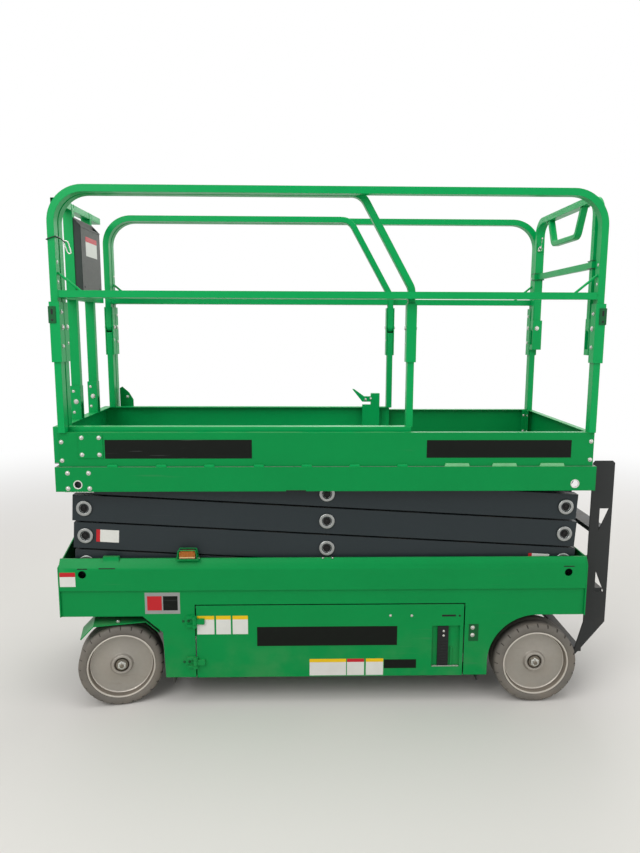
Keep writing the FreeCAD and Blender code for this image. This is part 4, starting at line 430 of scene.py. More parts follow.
def outline_plate(mesh, outline, plane, low, high, finish=0):
    """A flat piece with an outline in the xz, yz or xy plane, between two limits across it."""
    def at(first, second, third):
        return {"xz": point(first, third, second), "yz": point(third, first, second),
                "xy": point(first, second, third)}[plane]
    rings = [[mesh.verts.new(at(a, b, level)) for a, b in outline] for level in (low, high)]
    mesh.faces.new(rings[0]).material_index = finish
    mesh.faces.new(rings[1]).material_index = finish
    for index in range(len(outline)):
        after = (index + 1) % len(outline)
        face = mesh.faces.new((rings[0][index], rings[0][after], rings[1][after], rings[1][index]))
        face.material_index = finish


def turned(mesh, profile, centre, axis, steps=32, finish=0, dent=None, start=0.0):
    """A round piece about an axis through a centre. profile is (along, radius) from one end to the other.
    dent(ring, step) gives how far a point is pushed in. A radius of 0 closes an end."""
    along = Vector(axis).normalized()
    first = along.orthogonal().normalized()
    if abs(along.z) < 0.5:
        first = (Vector((0, 0, 1)) - along * along.z).normalized()
    second = along.cross(first)
    rings = []
    for ring, (reach, radius) in enumerate(profile):
        base = Vector(centre) + along * reach
        if radius <= 0:
            rings.append([mesh.verts.new(base * MM)])
            continue
        points = []
        for step in range(steps):
            angle = start + 2 * math.pi * step / steps
            size = radius - (dent(ring, step) if dent else 0.0)
            spot = base + first * (size * math.cos(angle)) + second * (size * math.sin(angle))
            points.append(mesh.verts.new(spot * MM))
        rings.append(points)
    for low, high in zip(rings, rings[1:]):
        for step in range(steps):
            after = (step + 1) % steps
            loop = []
            for corner in ((low, step), (low, after), (high, after), (high, step)):
                vertex = corner[0][corner[1] % len(corner[0])]
                if vertex not in loop:
                    loop.append(vertex)
            if len(loop) > 2:
                mesh.faces.new(loop).material_index = finish
    return rings


def cap(mesh, ring, finish=0):
    if len(ring) > 2:
        mesh.faces.new(ring).material_index = finish


def disc_piece(mesh, profile, centre, axis, steps=24, finish=0, start=0.0):
    """A turned piece with both ends closed flat."""
    rings = turned(mesh, profile, centre, axis, steps, finish, start=start)
    cap(mesh, rings[0], finish)
    cap(mesh, rings[-1], finish)


def wire(mesh, points, radius, closed=False, steps=8, finish=0):
    """A round wire or bead along points."""
    spots = [Vector(p) for p in points]
    count = len(spots)
    rings = []
    side = None
    for index, spot in enumerate(spots):
        before = spots[index - 1] if index or closed else spot
        after = spots[(index + 1) % count] if index < count - 1 or closed else spot
        along = (after - before).normalized()
        if side is None:
            side = along.orthogonal().normalized()
        side = (side - along * side.dot(along)).normalized()
        up = along.cross(side)
        rings.append([mesh.verts.new((spot + (side * math.cos(a) + up * math.sin(a)) * radius) * MM)
                      for a in (2 * math.pi * k / steps for k in range(steps))])
    pairs = list(zip(rings, rings[1:])) + ([(rings[-1], rings[0])] if closed else [])
    for low, high in pairs:
        shift = 0
        if closed and low is rings[-1]:
            shift = min(range(steps), key=lambda k: (low[0].co - high[k].co).length)
        for k in range(steps):
            face = mesh.faces.new((low[k], low[(k + 1) % steps], high[(k + 1 + shift) % steps],
                                   high[(k + shift) % steps]))
            face.material_index = finish
    if not closed:
        cap(mesh, rings[0], finish)
        cap(mesh, rings[-1], finish)


def arc(centre, radius, start, end, steps, plane="xz"):
    """Points on an arc in a plane through a centre, between two angles in degrees."""
    spots = []
    for k in range(steps + 1):
        angle = math.radians(start + (end - start) * k / steps)
        a, b = radius * math.cos(angle), radius * math.sin(angle)
        x, y, z = centre
        spots.append({"xz": (x + a, y, z + b), "yz": (x, y + a, z + b), "xy": (x + a, y + b, z)}[plane])
    return spots


def piece(name, body, mesh, finishes, smooth=35, bevel=0.0, replaced=()):
    """Makes one named piece of the machine from a mesh, with its finishes, riding on a body."""
    bmesh.ops.recalc_face_normals(mesh, faces=mesh.faces[:])
    data = bpy.data.meshes.new(name)
    mesh.to_mesh(data)
    mesh.free()
    for finish in finishes:
        data.materials.append(finish)
    made = bpy.data.objects.new(name, data)
    bpy.context.scene.collection.objects.link(made)
    data.shade_smooth()
    data.set_sharp_from_angle(angle=math.radians(smooth))
    if bevel:
        soften = made.modifiers.new("softened corners", "BEVEL")
        soften.width = bevel * MM
        soften.segments = 2
        soften.limit_method = "ANGLE"
        soften.angle_limit = math.radians(40)
        soften.harden_normals = True
    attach(made, body)
    if replaced:
        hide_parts(*replaced)
    return made


# Fasteners

DOME = ((-0.5, 1.55), (0.25, 1.55), (0.3, 1.0), (0.55, 0.97), (0.85, 0.8), (1.02, 0.5), (1.1, 0.0))
SOCKET_STEPS = 20


def dome_bolt(mesh, at, out, radius=6.0, finish=0):
    """A domed screw head on a washer. at is on the face and out points away from it."""
    turned(mesh, [(a * radius * 0.62, r * radius) for a, r in DOME], at, out, SOCKET_STEPS, finish)


def hex_bolt(mesh, at, out, radius=9.0, height=6.0, washer=True, finish=0):
    """A hexagon head with chamfered corners, on a washer."""
    low = 0.0
    if washer:
        disc_piece(mesh, ((-0.5, radius * 1.35), (1.4, radius * 1.35), (1.6, radius * 1.2)), at, out, 28, finish)
        low = 1.6
    disc_piece(mesh, ((low, radius), (low + height - 1.2, radius), (low + height, radius * 0.86)), at, out, 6,
               finish)
    disc_piece(mesh, ((low + height - 0.6, radius * 0.8), (low + height + 0.2, radius * 0.72)), at, out, 24, finish)


def lock_nut(mesh, at, out, radius=9.0, finish=0, thread=True):
    """A hexagon nut with a domed collar, and the end of its bolt."""
    hex_bolt(mesh, at, out, radius, radius * 0.8, finish=finish)
    if thread:
        top = 1.6 + radius * 0.8
        disc_piece(mesh, ((top, radius * 0.62), (top + 1.6, radius * 0.58), (top + 2.4, radius * 0.45)), at, out, 20,
                   finish)


# Wheels

TYRE = 180.0
RIM = 145.0
HALF_TREAD = 60.0
RIM_STEPS = 120
NOTCHES = 24
NOTCH_STEPS = 10
NOTCH_DEPTH = 4.5
SHOULDER_RINGS = (4, 5)

TYRE_PROFILE = (
    (HALF_TREAD - 3.0, RIM), (HALF_TREAD - 0.4, RIM + 3.0), (HALF_TREAD, 160.0), (HALF_TREAD - 0.2, 168.0),
    (HALF_TREAD - 2.6, 174.0), (HALF_TREAD - 8.0, 178.6), (HALF_TREAD - 14.0, TYRE - 0.2), (6.0, TYRE),
    (4.5, TYRE - 1.4), (-4.5, TYRE - 1.4), (-6.0, TYRE), (14.0 - HALF_TREAD, TYRE - 0.2),
    (8.0 - HALF_TREAD, 178.6), (2.6 - HALF_TREAD, 174.0), (0.2 - HALF_TREAD, 168.0), (-HALF_TREAD, 160.0),
    (0.4 - HALF_TREAD, RIM + 3.0), (3.0 - HALF_TREAD, RIM),
)
RIM_PROFILE = (
    (14.0, 20.1), (14.0, 40.0), (24.0, 40.0), (24.0, 131.0), (18.0, 137.0), (-52.0, 137.0), (-55.5, 139.0),
    (-56.0, 145.0), (53.0, 145.0), (57.0, 144.2), (58.4, 141.5), (57.6, 138.6), (54.0, 137.2), (42.0, 136.2),
    (34.0, 135.0), (32.6, 133.6), (34.4, 132.4), (35.0, 130.4), (33.6, 128.6), (31.2, 127.4), (30.2, 122.0),
    (30.0, 52.0), (30.8, 49.5), (34.0, 47.0), (39.0, 45.0), (42.4, 42.5), (43.6, 39.5), (43.8, 36.0),
    (42.6, 33.0), (38.0, 31.0), (35.0, 29.5), (34.5, 0.0),
)
LIP_RINGS = range(8, 12)
WALL_RINGS = range(12, 15)
DISC_EDGE_RINGS = range(16, 18)
HUB_RINGS = range(29, 33)
NUT_TOP = 53.0


def wheel_frame(end, word, side):
    """A wheel's middle and the direction its outer face looks in."""
    low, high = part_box(f"tyre_{end}_{word}")
    joint = JOINTS[f"{end}_{word}_spin"]
    axis = Vector(joint["axis"]).normalized()
    outward = axis * side if axis.y > 0 else -axis * side
    return (low + high) / 2 / MM, outward


def tyre_notch(ring, step):
    """How far a point of the tyre is pushed in, in millimetres."""
    mirrored = len(TYRE_PROFILE) - 1 - ring
    at_shoulder = ring in SHOULDER_RINGS or mirrored in SHOULDER_RINGS
    return NOTCH_DEPTH if at_shoulder and step % NOTCH_STEPS == 0 else 0.0


def wheel(end, word, side):
    centre, outward = wheel_frame(end, word, side)
    body = f"wheel_{end}_{word}"
    mesh = bmesh.new()
    rings = turned(mesh, TYRE_PROFILE, centre, outward, NOTCHES * NOTCH_STEPS, 0, dent=tyre_notch)
    for step in range(len(rings[0])):
        after = (step + 1) % len(rings[0])
        mesh.faces.new((rings[0][step], rings[0][after], rings[-1][after], rings[-1][step]))
    # The faces in each notch take a darker rubber: painted shade in the notches.
    for ring, points in enumerate(rings):
        for step in range(0, NOTCHES * NOTCH_STEPS, NOTCH_STEPS):
            if tyre_notch(ring, step):
                for face in points[step].link_faces:
                    if points[step - 1] in face.verts:
                        face.material_index = 1
    piece(f"tyre_rubber_{end}_{word}", body, mesh, [FINISHES["tyre_grey"], SHADED_TYRE_NOTCH], 50,
          replaced=[f"tyre_{end}_{word}"])

    mesh = bmesh.new()
    start = len(mesh.faces)
    turned(mesh, RIM_PROFILE, centre, outward, RIM_STEPS, 0)
    mesh.faces.ensure_lookup_table()
    # The lip and the disc's edge take a lighter finish as a painted highlight; the wall takes painted shade.
    for rings, finish in ((LIP_RINGS, 1), (WALL_RINGS, 2), (DISC_EDGE_RINGS, 1), (HUB_RINGS, 3)):
        for ring in rings:
            for face in mesh.faces[start + ring * RIM_STEPS:start + (ring + 1) * RIM_STEPS]:
                face.material_index = finish
    # The hub's recess takes a darker finish: painted shade.
    piece(f"rim_dish_{end}_{word}", body, mesh, [FINISHES["rim_silver"], RIM_HIGHLIGHT, RIM_WALL, SHADED_HUB_RECESS], 28,
          replaced=[f"rim_{end}_{word}"])

    mesh = bmesh.new()
    disc_piece(mesh, ((34.0, 25.0), (40.4, 25.0), (41.0, 24.0)), centre, outward, 40, 1)
    disc_piece(mesh, ((41.0, 19.5), (48.2, 19.5), (49.2, 17.5)), centre, outward, 6)
    disc_piece(mesh, ((48.0, 14.5), (49.6, 14.5)), centre, outward, 36)
    along = outward.normalized()
    up = (Vector((0, 0, 1)) - along * along.z).normalized()
    level = along.cross(up)
    for tooth in range(6):
        angle = math.radians(60 * tooth + 30)
        out = up * math.cos(angle) + level * math.sin(angle)
        disc_piece(mesh, ((49.0, 4.2), (NUT_TOP - 0.5, 4.2), (NUT_TOP, 3.6)), centre + out * 11.0, outward, 8)
    disc_piece(mesh, ((42.0, 8.5), (NUT_TOP + 3.2, 8.5), (NUT_TOP + 4.4, 7.2)), centre, outward, 28, 1)
    pin_height = along * (NUT_TOP - 1.6)
    wire(mesh, [centre + pin_height + up * reach for reach in (-16.0, 0.0, 16.0)], 1.8, steps=8)
    wire(mesh, [centre + pin_height + up * 16.0, centre + pin_height + up * 20.0 - along * 3.0 + level * 2.0,
                centre + pin_height + up * 21.0 - along * 7.0 + level * 4.0], 1.2, steps=6)
    piece(f"axle_nut_{end}_{word}", body, mesh, [BOLT_ZINC, WORN_ZINC], 30)


# Labels and strips, all blank

def sticker(mesh, xs, zs, face, side, finish=WHITE, header=None, header_share=0.28, leading=None):
    """A thin blank label on a side face, with a coloured band along its top or down its front edge."""
    skin = (side * (face - 0.3), side * (face + 0.5))
    low_x, high_x = sorted(xs)
    low_z, high_z = sorted(zs)
    if header is not None:
        split = high_z - (high_z - low_z) * header_share
        slab(mesh, (low_x, high_x), skin, (split, high_z), header)
        high_z = split
    if leading is not None:
        split = low_x + (high_x - low_x) * 0.17
        slab(mesh, (low_x, split), skin, (low_z, high_z), leading)
        low_x = split
    slab(mesh, (low_x, high_x), skin, (low_z, high_z), finish)


def door_labels():
    """The blank strip and labels on the near door, which the panel's face carries."""
    face = side_face_skirt()
    mesh = bmesh.new()
    sticker(mesh, (-365, 245), (269, 357), face, -1, BLACK)
    for low, high, header in ((-627, -549, YELLOW), (-545, -478, YELLOW), (-474, -404, YELLOW)):
        sticker(mesh, (low + 4, high), (325, 409), face, -1, WHITE, header, 0.2)
    for low, high, header in ((-137, 23, YELLOW), (27, 102, RED), (110, 186, YELLOW)):
        sticker(mesh, (low, high), (125 + 5, 207), face, -1, WHITE, header, 0.2)
    sticker(mesh, (189, 331), (161, 202), face, -1, BLACK)
    piece("door_labels", "door_left", mesh, VINYLS, bevel=0.15)


def side_face_skirt():
    return 397.0


def chassis_labels():
    mesh = bmesh.new()
    sticker(mesh, (-1198, -1132), (547, 610), 405, -1, WHITE, RED, 0.3)
    sticker(mesh, (-844, -694), (420, 516), 397, -1, GREY)
    slab(mesh, (-834, -772), (-397.4, -398.1), (436, 500), RED)
    slab(mesh, (-766, -704), (-397.4, -398.1), (436, 500), BLACK)
    piece("chassis_labels", "chassis", mesh, VINYLS, bevel=0.15)


def platform_strips():
    mesh = bmesh.new()
    sticker(mesh, (-983, -377), (1102, 1181), 405, -1, BLACK)
    sticker(mesh, (351, 960), (1104, 1179), 405, -1, BLACK)
    piece("platform_strips", "platform", mesh, VINYLS, bevel=0.15)


def arm_labels():
    """Two labels on the near outer arm of the second level, which slopes as it stands."""
    slope = math.asin(120 / 2064.5)
    middle = Vector((-62.0, 0.0, 700.0))
    mesh = bmesh.new()
    for centre_x, centre_z, half_x, half_z in ((-1000, 757, 48, 27), (861, 652, 46, 18)):
        start = len(mesh.verts)
        sticker(mesh, (centre_x - half_x, centre_x + half_x), (centre_z - half_z, centre_z + half_z), 362, -1,
                WHITE, leading=RED)
        mesh.verts.ensure_lookup_table()
        turn = Matrix.Rotation(slope, 3, "Y")
        hub = point(centre_x, 0, centre_z)
        for vertex in mesh.verts[start:]:
            vertex.co = turn @ (vertex.co - hub) + hub
    piece("arm_labels", "outer_2", mesh, VINYLS, bevel=0.15)


# Bolts

BOARD_BOLTS = ((-1160, 1172), (-1160, 1094), (-1076, 1190), (-1005, 1190), (-1076, 1119), (-1005, 1119),
               (1042, 1173), (1042, 1095))
PANEL_BOLTS = ((-1137, 1043), (-1051, 1043), (-1138, 978), (-1049, 978), (1020, 1043), (1020, 978),
               (940, 1043), (940, 978))
PLATE_X = (-1090, -990)
PLATE_Z = (1104, 1203)
TAB_STARTS = (-978, -777, -579, -373, -174, 26, 226, 426, 626, 827)
TAB_LENGTH = 49.0
WIDE_TAB = 108.0
PANEL_HOLES = (-1097, 980)
PANEL_HOLE_Z = 994.0
PANEL_HOLE_RADIUS = 17.0


def platform_fittings():
    """Bolts, tabs, the raised plate and the hole rings on the platform's sides."""
    for word, side in SIDES:
        mesh = bmesh.new()
        out = (0, side, 0)
        board = side_face(f"toe_board_{word}", side)
        panel = side_face(f"platform_side_{word}", side)
        for x, z in BOARD_BOLTS:
            lift = 2.6 if PLATE_X[0] < x < PLATE_X[1] else 0.0
            dome_bolt(mesh, (x, side * (board + lift), z), out, 5.8, 1)
        for x, z in PANEL_BOLTS:
            if x < 0:
                dome_bolt(mesh, (x, side * panel, z), out, 6.2, 1)
        slab(mesh, PLATE_X, (side * (board - 1), side * (board + 3)), PLATE_Z, 0)
        # The tabs are lighter than the board as a painted highlight on their lit tops: the wide rear ones in a pale
        # green, the others in the rail paint.
        for low in TAB_STARTS:
            wide = low > 400
            end = low + (WIDE_TAB if wide else TAB_LENGTH)
            height = 1081 if wide else 1077
            outline_plate(mesh, ((low, 1064), (end, 1064), (end - 6, height), (low + 6, height)), "xz",
                          side * (board - 0.5), side * (board + 6.5), 2 if wide else 4)
        # A thin dark strip is painted shade in the notch at the panel's bottom edge.
        slab(mesh, (-236, -153), (side * (panel - 1), side * (panel + 0.6)), (964, 969), 3)
        slab(mesh, (-1151, -1032), (side * (panel - 36), side * (panel + 1.2)), (961.6, 963.8), 1)
        piece(f"platform_fittings_{word}", "platform", mesh,
              [FINISHES["chassis_green"], BOLT_ZINC, TAB_HIGHLIGHT_PAINT, DARK_STEEL_AND_SHADE, FINISHES["rail_green"]], 35, bevel=0.6)

        mesh = bmesh.new()
        for x in PANEL_HOLES:
            rim = ((-5.0, PANEL_HOLE_RADIUS - 2.4), (0.4, PANEL_HOLE_RADIUS - 2.4), (0.9, PANEL_HOLE_RADIUS - 1.6),
                   (0.9, PANEL_HOLE_RADIUS + 1.2), (0.0, PANEL_HOLE_RADIUS + 1.8), (-5.0, PANEL_HOLE_RADIUS - 0.2))
            rings = turned(mesh, rim, (x, side * panel, PANEL_HOLE_Z), out, 40)
            for step in range(40):
                after = (step + 1) % 40
                mesh.faces.new((rings[0][step], rings[0][after], rings[-1][after], rings[-1][step]))
        piece(f"panel_hole_rings_{word}", "platform", mesh, [WHITE_VINYL], 40)


def square_tube(mesh, points, radius, half_in, half_across, across, steps=7):
    """A rectangular tube along points in a plane, with each inner corner of its path bent to a radius.
    half_in is its half size in the plane and half_across its half size along the axis called across."""
    path = [Vector(points[0])]
    for before, corner, after in zip(points, points[1:], points[2:]):
        before, corner, after = Vector(before), Vector(corner), Vector(after)
        into, out = (corner - before).normalized(), (after - corner).normalized()
        turn = into.angle(out)
        reach = radius * math.tan(turn / 2)
        start, end = corner - into * reach, corner + out * reach
        hub = corner + (out - into).normalized() * (radius / math.cos(turn / 2))
        for k in range(steps + 1):
            share = k / steps
            spoke = (start - hub).slerp(end - hub, share).normalized() * radius
            path.append(hub + spoke)
    path.append(Vector(points[-1]))
    side = Vector(across)
    soft = 3.0
    rings = []
    for index, spot in enumerate(path):
        before = path[max(index - 1, 0)]
        after = path[min(index + 1, len(path) - 1)]
        up = (after - before).normalized().cross(side)
        ring = []
        for a, b in ((1, 1), (-1, 1), (-1, -1), (1, -1)):
            for da, db in (((0, soft), (soft, 0)) if a * b > 0 else ((soft, 0), (0, soft))):
                ring.append(mesh.verts.new((spot + up * (a * (half_in - da)) + side * (b * (half_across - db))) * MM))
        rings.append(ring)
    for low, high in zip(rings, rings[1:]):
        for k in range(8):
            mesh.faces.new((low[k], low[(k + 1) % 8], high[(k + 1) % 8], high[k]))
    cap(mesh, rings[0])
    cap(mesh, rings[-1])


def mesh_without(name, planes, inside):
    """A copy of a CAD node's mesh, split at planes (point, normal) and without the faces that inside() picks."""
    mesh = bmesh.new()
    mesh.from_mesh(frame["nodes"][name].data)
    bmesh.ops.remove_doubles(mesh, verts=mesh.verts[:], dist=0.02 * MM)
    for spot, normal in planes:
        everything = mesh.verts[:] + mesh.edges[:] + mesh.faces[:]
        bmesh.ops.bisect_plane(mesh, geom=everything, plane_co=point(*spot), plane_no=normal, dist=0.0005 * MM)
    gone = [face for face in mesh.faces if inside(face.calc_center_median() / MM)]
    bmesh.ops.delete(mesh, geom=gone, context="FACES")
    bmesh.ops.dissolve_limit(mesh, angle_limit=math.radians(0.4), verts=mesh.verts[:], edges=mesh.edges[:])
    return mesh


LOOP_HALF = 193.0
LOOP_LEAN = 60.0
LOOP_TOP = 2158.0
LOOP_LOW = 2040.0


def bent_tubes():
    """The grab loop and the slanted rails with round bends, in place of the square corners of the solids."""
    mesh = mesh_without("entry_frame", (((1041, 0, 2155.9), (0, 0, 1)),),
                        lambda at: abs(at.y) < 225 and at.z < 2155.7)
    mesh_into(mesh, "entry_frame_tube", "entry_frame", "entry_frame")
    mesh = bmesh.new()
    square_tube(mesh, [(1041, -LOOP_HALF, LOOP_TOP), (1041, LOOP_LEAN - LOOP_HALF - 2, LOOP_LOW),
                       (1041, LOOP_HALF - LOOP_LEAN + 2, LOOP_LOW), (1041, LOOP_HALF, LOOP_TOP)],
                34.0, 12.0, 14.0, (1, 0, 0))
    piece("grab_loop", "entry_frame", mesh, [FINISHES["rail_green"]], 40)

    for word, side in SIDES:
        name = f"extension_rail_{word}"
        mesh = mesh_without(name, (((SLANT_START, 0, 0), (1, 0, 0)), ((0, 0, SLANT_END), (0, 0, 1)),
                                   ((SLIDE_REAR_X - 14.2, 0, 0), (1, 0, 0))), in_slant)
        mesh_into(mesh, f"extension_rail_tube_{word}", "extension", name)
        mesh = bmesh.new()
        y = side * SLIDE_POST_Y
        square_tube(mesh, [(SLANT_START, y, TOP_RAIL), (71, y, TOP_RAIL), (SLIDE_REAR_X, y, 1800),
                           (SLIDE_REAR_X, y, SLANT_END)], 70.0, 14.0, 20.0, (0, 1, 0))
        piece(f"slanted_rail_{word}", "extension", mesh, [FINISHES["rail_green"]], 40)


SLANT_START = 24.0
SLANT_END = 1745.0


def in_slant(at):
    """Whether a face of an extension rail belongs to its slanted tube and the bends at its ends."""
    if at.x < SLANT_START or at.z < SLANT_END:
        return False
    if at.x > SLIDE_REAR_X - 14.3:
        return True
    return at.z > 1800 or (at.z > 1786 and at.x > 240)


def mesh_into(mesh, name, body, replaced):
    """Makes a piece with the rail paint and rounded edges that replaces a CAD node."""
    made = piece(name, body, mesh, [FINISHES["rail_green"]], 40, replaced=[replaced])
    made.data.polygons.foreach_set("material_index", [0] * len(made.data.polygons))
    soften = made.modifiers.new("rounded edges", "BEVEL")
    soften.width = 3.2 * MM
    soften.segments = 2
    soften.limit_method = "ANGLE"
    soften.angle_limit = math.radians(40)
    soften.harden_normals = True
    return made


def board_corners():
    """Angle plates that join the rear toe board to the side boards, and the gusset at the far front corner."""
    rear_low, rear_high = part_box("toe_board_rear")
    front_face = rear_low.x / MM
    end = rear_high.y / MM
    mesh = bmesh.new()
    for word, side in SIDES:
        inner = 378.2
        outline_plate(mesh, ((front_face - 26, side * inner), (front_face + 26, side * inner),
                             (front_face + 26, side * (inner - 3)), (front_face - 26, side * (inner - 3))), "xy",
                      1072, 1208)
        outline_plate(mesh, ((front_face - 3.2, side * inner), (front_face - 0.2, side * inner),
                             (front_face - 0.2, side * (end - 30)), (front_face - 3.2, side * (end - 30))), "xy",
                      1072, 1208)
        for z in (1096, 1180):
            dome_bolt(mesh, (front_face - 3.0, side * (end - 18), z), (-1, 0, 0), 4.4, 1)
            dome_bolt(mesh, (front_face - 16, side * (inner - 3), z), (0, -side, 0), 4.4, 1)
    outline_plate(mesh, ((-1132, 1190), (-1132, 1322), (-1118, 1330), (-1084, 1300), (-1062, 1262), (-1062, 1190)),
                  "xz", 396, 400)
    dome_bolt(mesh, (-1092, 396, 1276), (0, -1, 0), 5.6, 1)
    piece("board_corners", "platform", mesh, [FINISHES["chassis_green"], BOLT_ZINC], 35, bevel=0.8)


def chassis_fittings():
    """Slots, rivets, hinge screws and the small bright screws on the channel's top."""
    for word, side in SIDES:
        mesh = bmesh.new()
        out = (0, side, 0)
        # The slots are thin dark strips on the face: painted shade in them.
        for low, high, z in ((-1122, -1080, 625), (-1032, -962, 627), (958, 1005, 627)):
            slab(mesh, (low, high), (side * 404.2, side * 405.4), (z - 2.2, z + 2.2), 1)
        for x in (-80, -39):
            dome_bolt(mesh, (x, side * 385, 664), (0, 0, 1), 4.0, 0)
        for x, z in ((575, 347), (575, 313)):
            dome_bolt(mesh, (x, side * 397, z), out, 6.0, 0)
        for z in (386, 199):
            for x in (-660, -682):
                dome_bolt(mesh, (x, side * 397, z), out, 4.0, 2)
        # The plate is a darker green than the chassis: painted shade on it.
        slab(mesh, (558, 601), (side * 396, side * 397.8), (285, 364), 2)
        piece(f"chassis_fittings_{word}", "chassis", mesh,
              [BOLT_ZINC, DARK_STEEL_AND_SHADE, DARK_PLATE_PAINT_AND_SHADE], 35, bevel=0.4)


def door_fittings():
    """The handle's grip, the bright ledge under it, rivets and the latch slot."""
    for word, side in SIDES:
        mesh = bmesh.new()
        grip_low, grip_high = 423.5, 470.5
        outer = 395.9
        slab(mesh, (grip_low, grip_high), (side * 382.5, side * outer), (168.5, 353.5), 0)
        for k in range(9):
            z = 178 + k * 13
            slab(mesh, (grip_low + 5, grip_high - 5), (side * (outer - 0.5), side * (outer + 0.7)), (z, z + 6.5), 0)
        for z in (310, 331):
            dome_bolt(mesh, (449, side * outer, z), (0, side, 0), 3.4, 1)
        slab(mesh, (400, 518), (side * 386, side * 396.6), (167.0, 170.5), 1)
        for x, z in ((214, 405), (307, 404)):
            dome_bolt(mesh, (x, side * 397, z), (0, side, 0), 3.8, 1)
        # The latch slot is a dark strip with a dark round end: painted shade in the slot.
        slab(mesh, (439, 500), (side * 396.4, side * 397.5), (399, 407.5), 2)
        disc_piece(mesh, ((-0.4, 4.6), (0.5, 4.6)), (517, side * 397, 402.5), (0, side, 0), 18, 2)
        piece(f"door_fittings_{word}", f"door_{word}", mesh, [BLACK_GRIP, BOLT_ZINC, DARK_STEEL_AND_SHADE],
              35, bevel=0.8)


# Arm pins

ARM_LENGTH = 2064.5
LEVEL_RISE = 120.0
LOWEST_PIN = 520.0
REAR_PIN_X = 967.5
COLLAR_FACE = 368.0
ARM_FACE = 362.0
REST_SLOPE = math.asin(LEVEL_RISE / ARM_LENGTH)


def arm_point(level, reach):
    """A place on the outer arm of a level: reach runs from -1 at its front pin to 1 at its rear pin."""
    half = ARM_LENGTH / 2
    middle_x = REAR_PIN_X - half * math.cos(REST_SLOPE)
    middle_z = LOWEST_PIN + LEVEL_RISE * (level - 0.5)
    return middle_x + reach * half * math.cos(REST_SLOPE), middle_z - reach * half * math.sin(REST_SLOPE)


def arm_pins():
    """A zinc collar, a snap ring and the dark hollow pin end at each pin of the outer arms."""
    for level in LEVELS:
        mesh = bmesh.new()
        for word, side in SIDES:
            for reach in (-1, 0, 1):
                if (level, reach) in ((1, 1), (4, -1)):
                    continue
                x, z = arm_point(level, reach)
                at = (x, side * ARM_FACE, z)
                out = (0, side, 0)
                turned(mesh, ((2.0, 33.0), (6.4, 32.6), (7.6, 30.8), (7.6, 22.4), (6.6, 21.2), (3.2, 20.8),
                              (3.2, 17.0)), at, out, 40, 0)
                turned(mesh, ((3.2, 19.8), (4.4, 19.6), (4.4, 17.2), (2.6, 17.0), (-2.5, 16.6)), at, out, 36, 0)
                disc_piece(mesh, ((-3.9, 17.4), (-3.2, 17.4)), at, out, 30, 1)
                # The pin's hollow end is a dark disc: painted shade in the hollow.
                disc_piece(mesh, ((-3.4, 6.5), (0.5, 6.2), (1.0, 5.2)), at, out, 16, 1)
                slab(mesh, (x - 3, x + 3), (side * (ARM_FACE + 2), side * (ARM_FACE + 5.4)), (z - 22.5, z - 17), 1)
        piece(f"arm_pin_collars_{level}", f"outer_{level}", mesh,
              [FINISHES["bare_steel"], DARK_STEEL_AND_SHADE], 32)


# Rails

POST_Y = 395.0
SLIDE_POST_Y = 343.0
POST_FRONT_X = -1153.0
POST_REAR_X = 1041.0
SLIDE_REAR_X = 282.0
PIVOT_Z = 1640.0
CHEEK_OUT = 20.5
MID_RAIL = 1771.0
TOP_RAIL = 2176.0


def pivot_bolts(mesh, x, y, z=PIVOT_Z, finish=0, axis="x"):
    """The bolt's head on one cheek of a bracket and its nut on the other."""
    step = Vector((1, 0, 0)) if axis == "x" else Vector((0, 1, 0))
    hex_bolt(mesh, Vector((x, y, z)) - step * CHEEK_OUT, -step, 8.0, 4.0, finish=finish)
    hex_bolt(mesh, Vector((x, y, z)) + step * CHEEK_OUT, step, 8.0, 4.0, finish=finish)


def weld_round(mesh, middle, half_a, half_b, plane, radius=2.2, finish=0):
    """A bead of weld round a rectangular tube."""
    x, y, z = middle
    corners = ((-1, -1), (1, -1), (1, 1), (-1, 1))
    spots = []
    for index, (a, b) in enumerate(corners):
        after = corners[(index + 1) % 4]
        for k in range(6):
            share = k / 6
            wobble = 0.35 * math.sin(9.0 * (index + share) + x)
            p = (a + (after[0] - a) * share) * (half_a + wobble)
            q = (b + (after[1] - b) * share) * (half_b + wobble)
            spots.append((x, y + p, z + q) if plane == "yz" else (x + p, y + q, z))
    wire(mesh, spots, radius, closed=True, steps=6, finish=finish)


def latch_pin(mesh, at, along, lanyard_to, finish=0, ring_finish=0):
    """A quick-release pin with a ring pull, and its short wire lanyard."""
    at = Vector(at)
    along = Vector(along)
    disc_piece(mesh, ((-3.0, 4.6), (13.0, 4.6), (14.0, 3.6)), at, along, 16, finish)
    disc_piece(mesh, ((0.0, 7.5), (3.0, 7.5), (4.0, 6.5)), at, along, 20, finish)
    ring_at = at + along * 13 + Vector((0, 0, -9))
    wire(mesh, arc(ring_at, 9.0, 0, 342, 20, "xz"), 1.3, steps=8, finish=ring_finish)
    end = Vector(lanyard_to)
    start = at + along * 9
    spots = []
    for k in range(9):
        share = k / 8
        sag = -26.0 * 4 * share * (1 - share)
        spots.append(start.lerp(end, share) + Vector((0, 0, sag)))
    wire(mesh, spots, 1.1, steps=6, finish=ring_finish)
    disc_piece(mesh, ((-2.0, 4.0), (2.5, 4.0)), end, along, 14, finish)


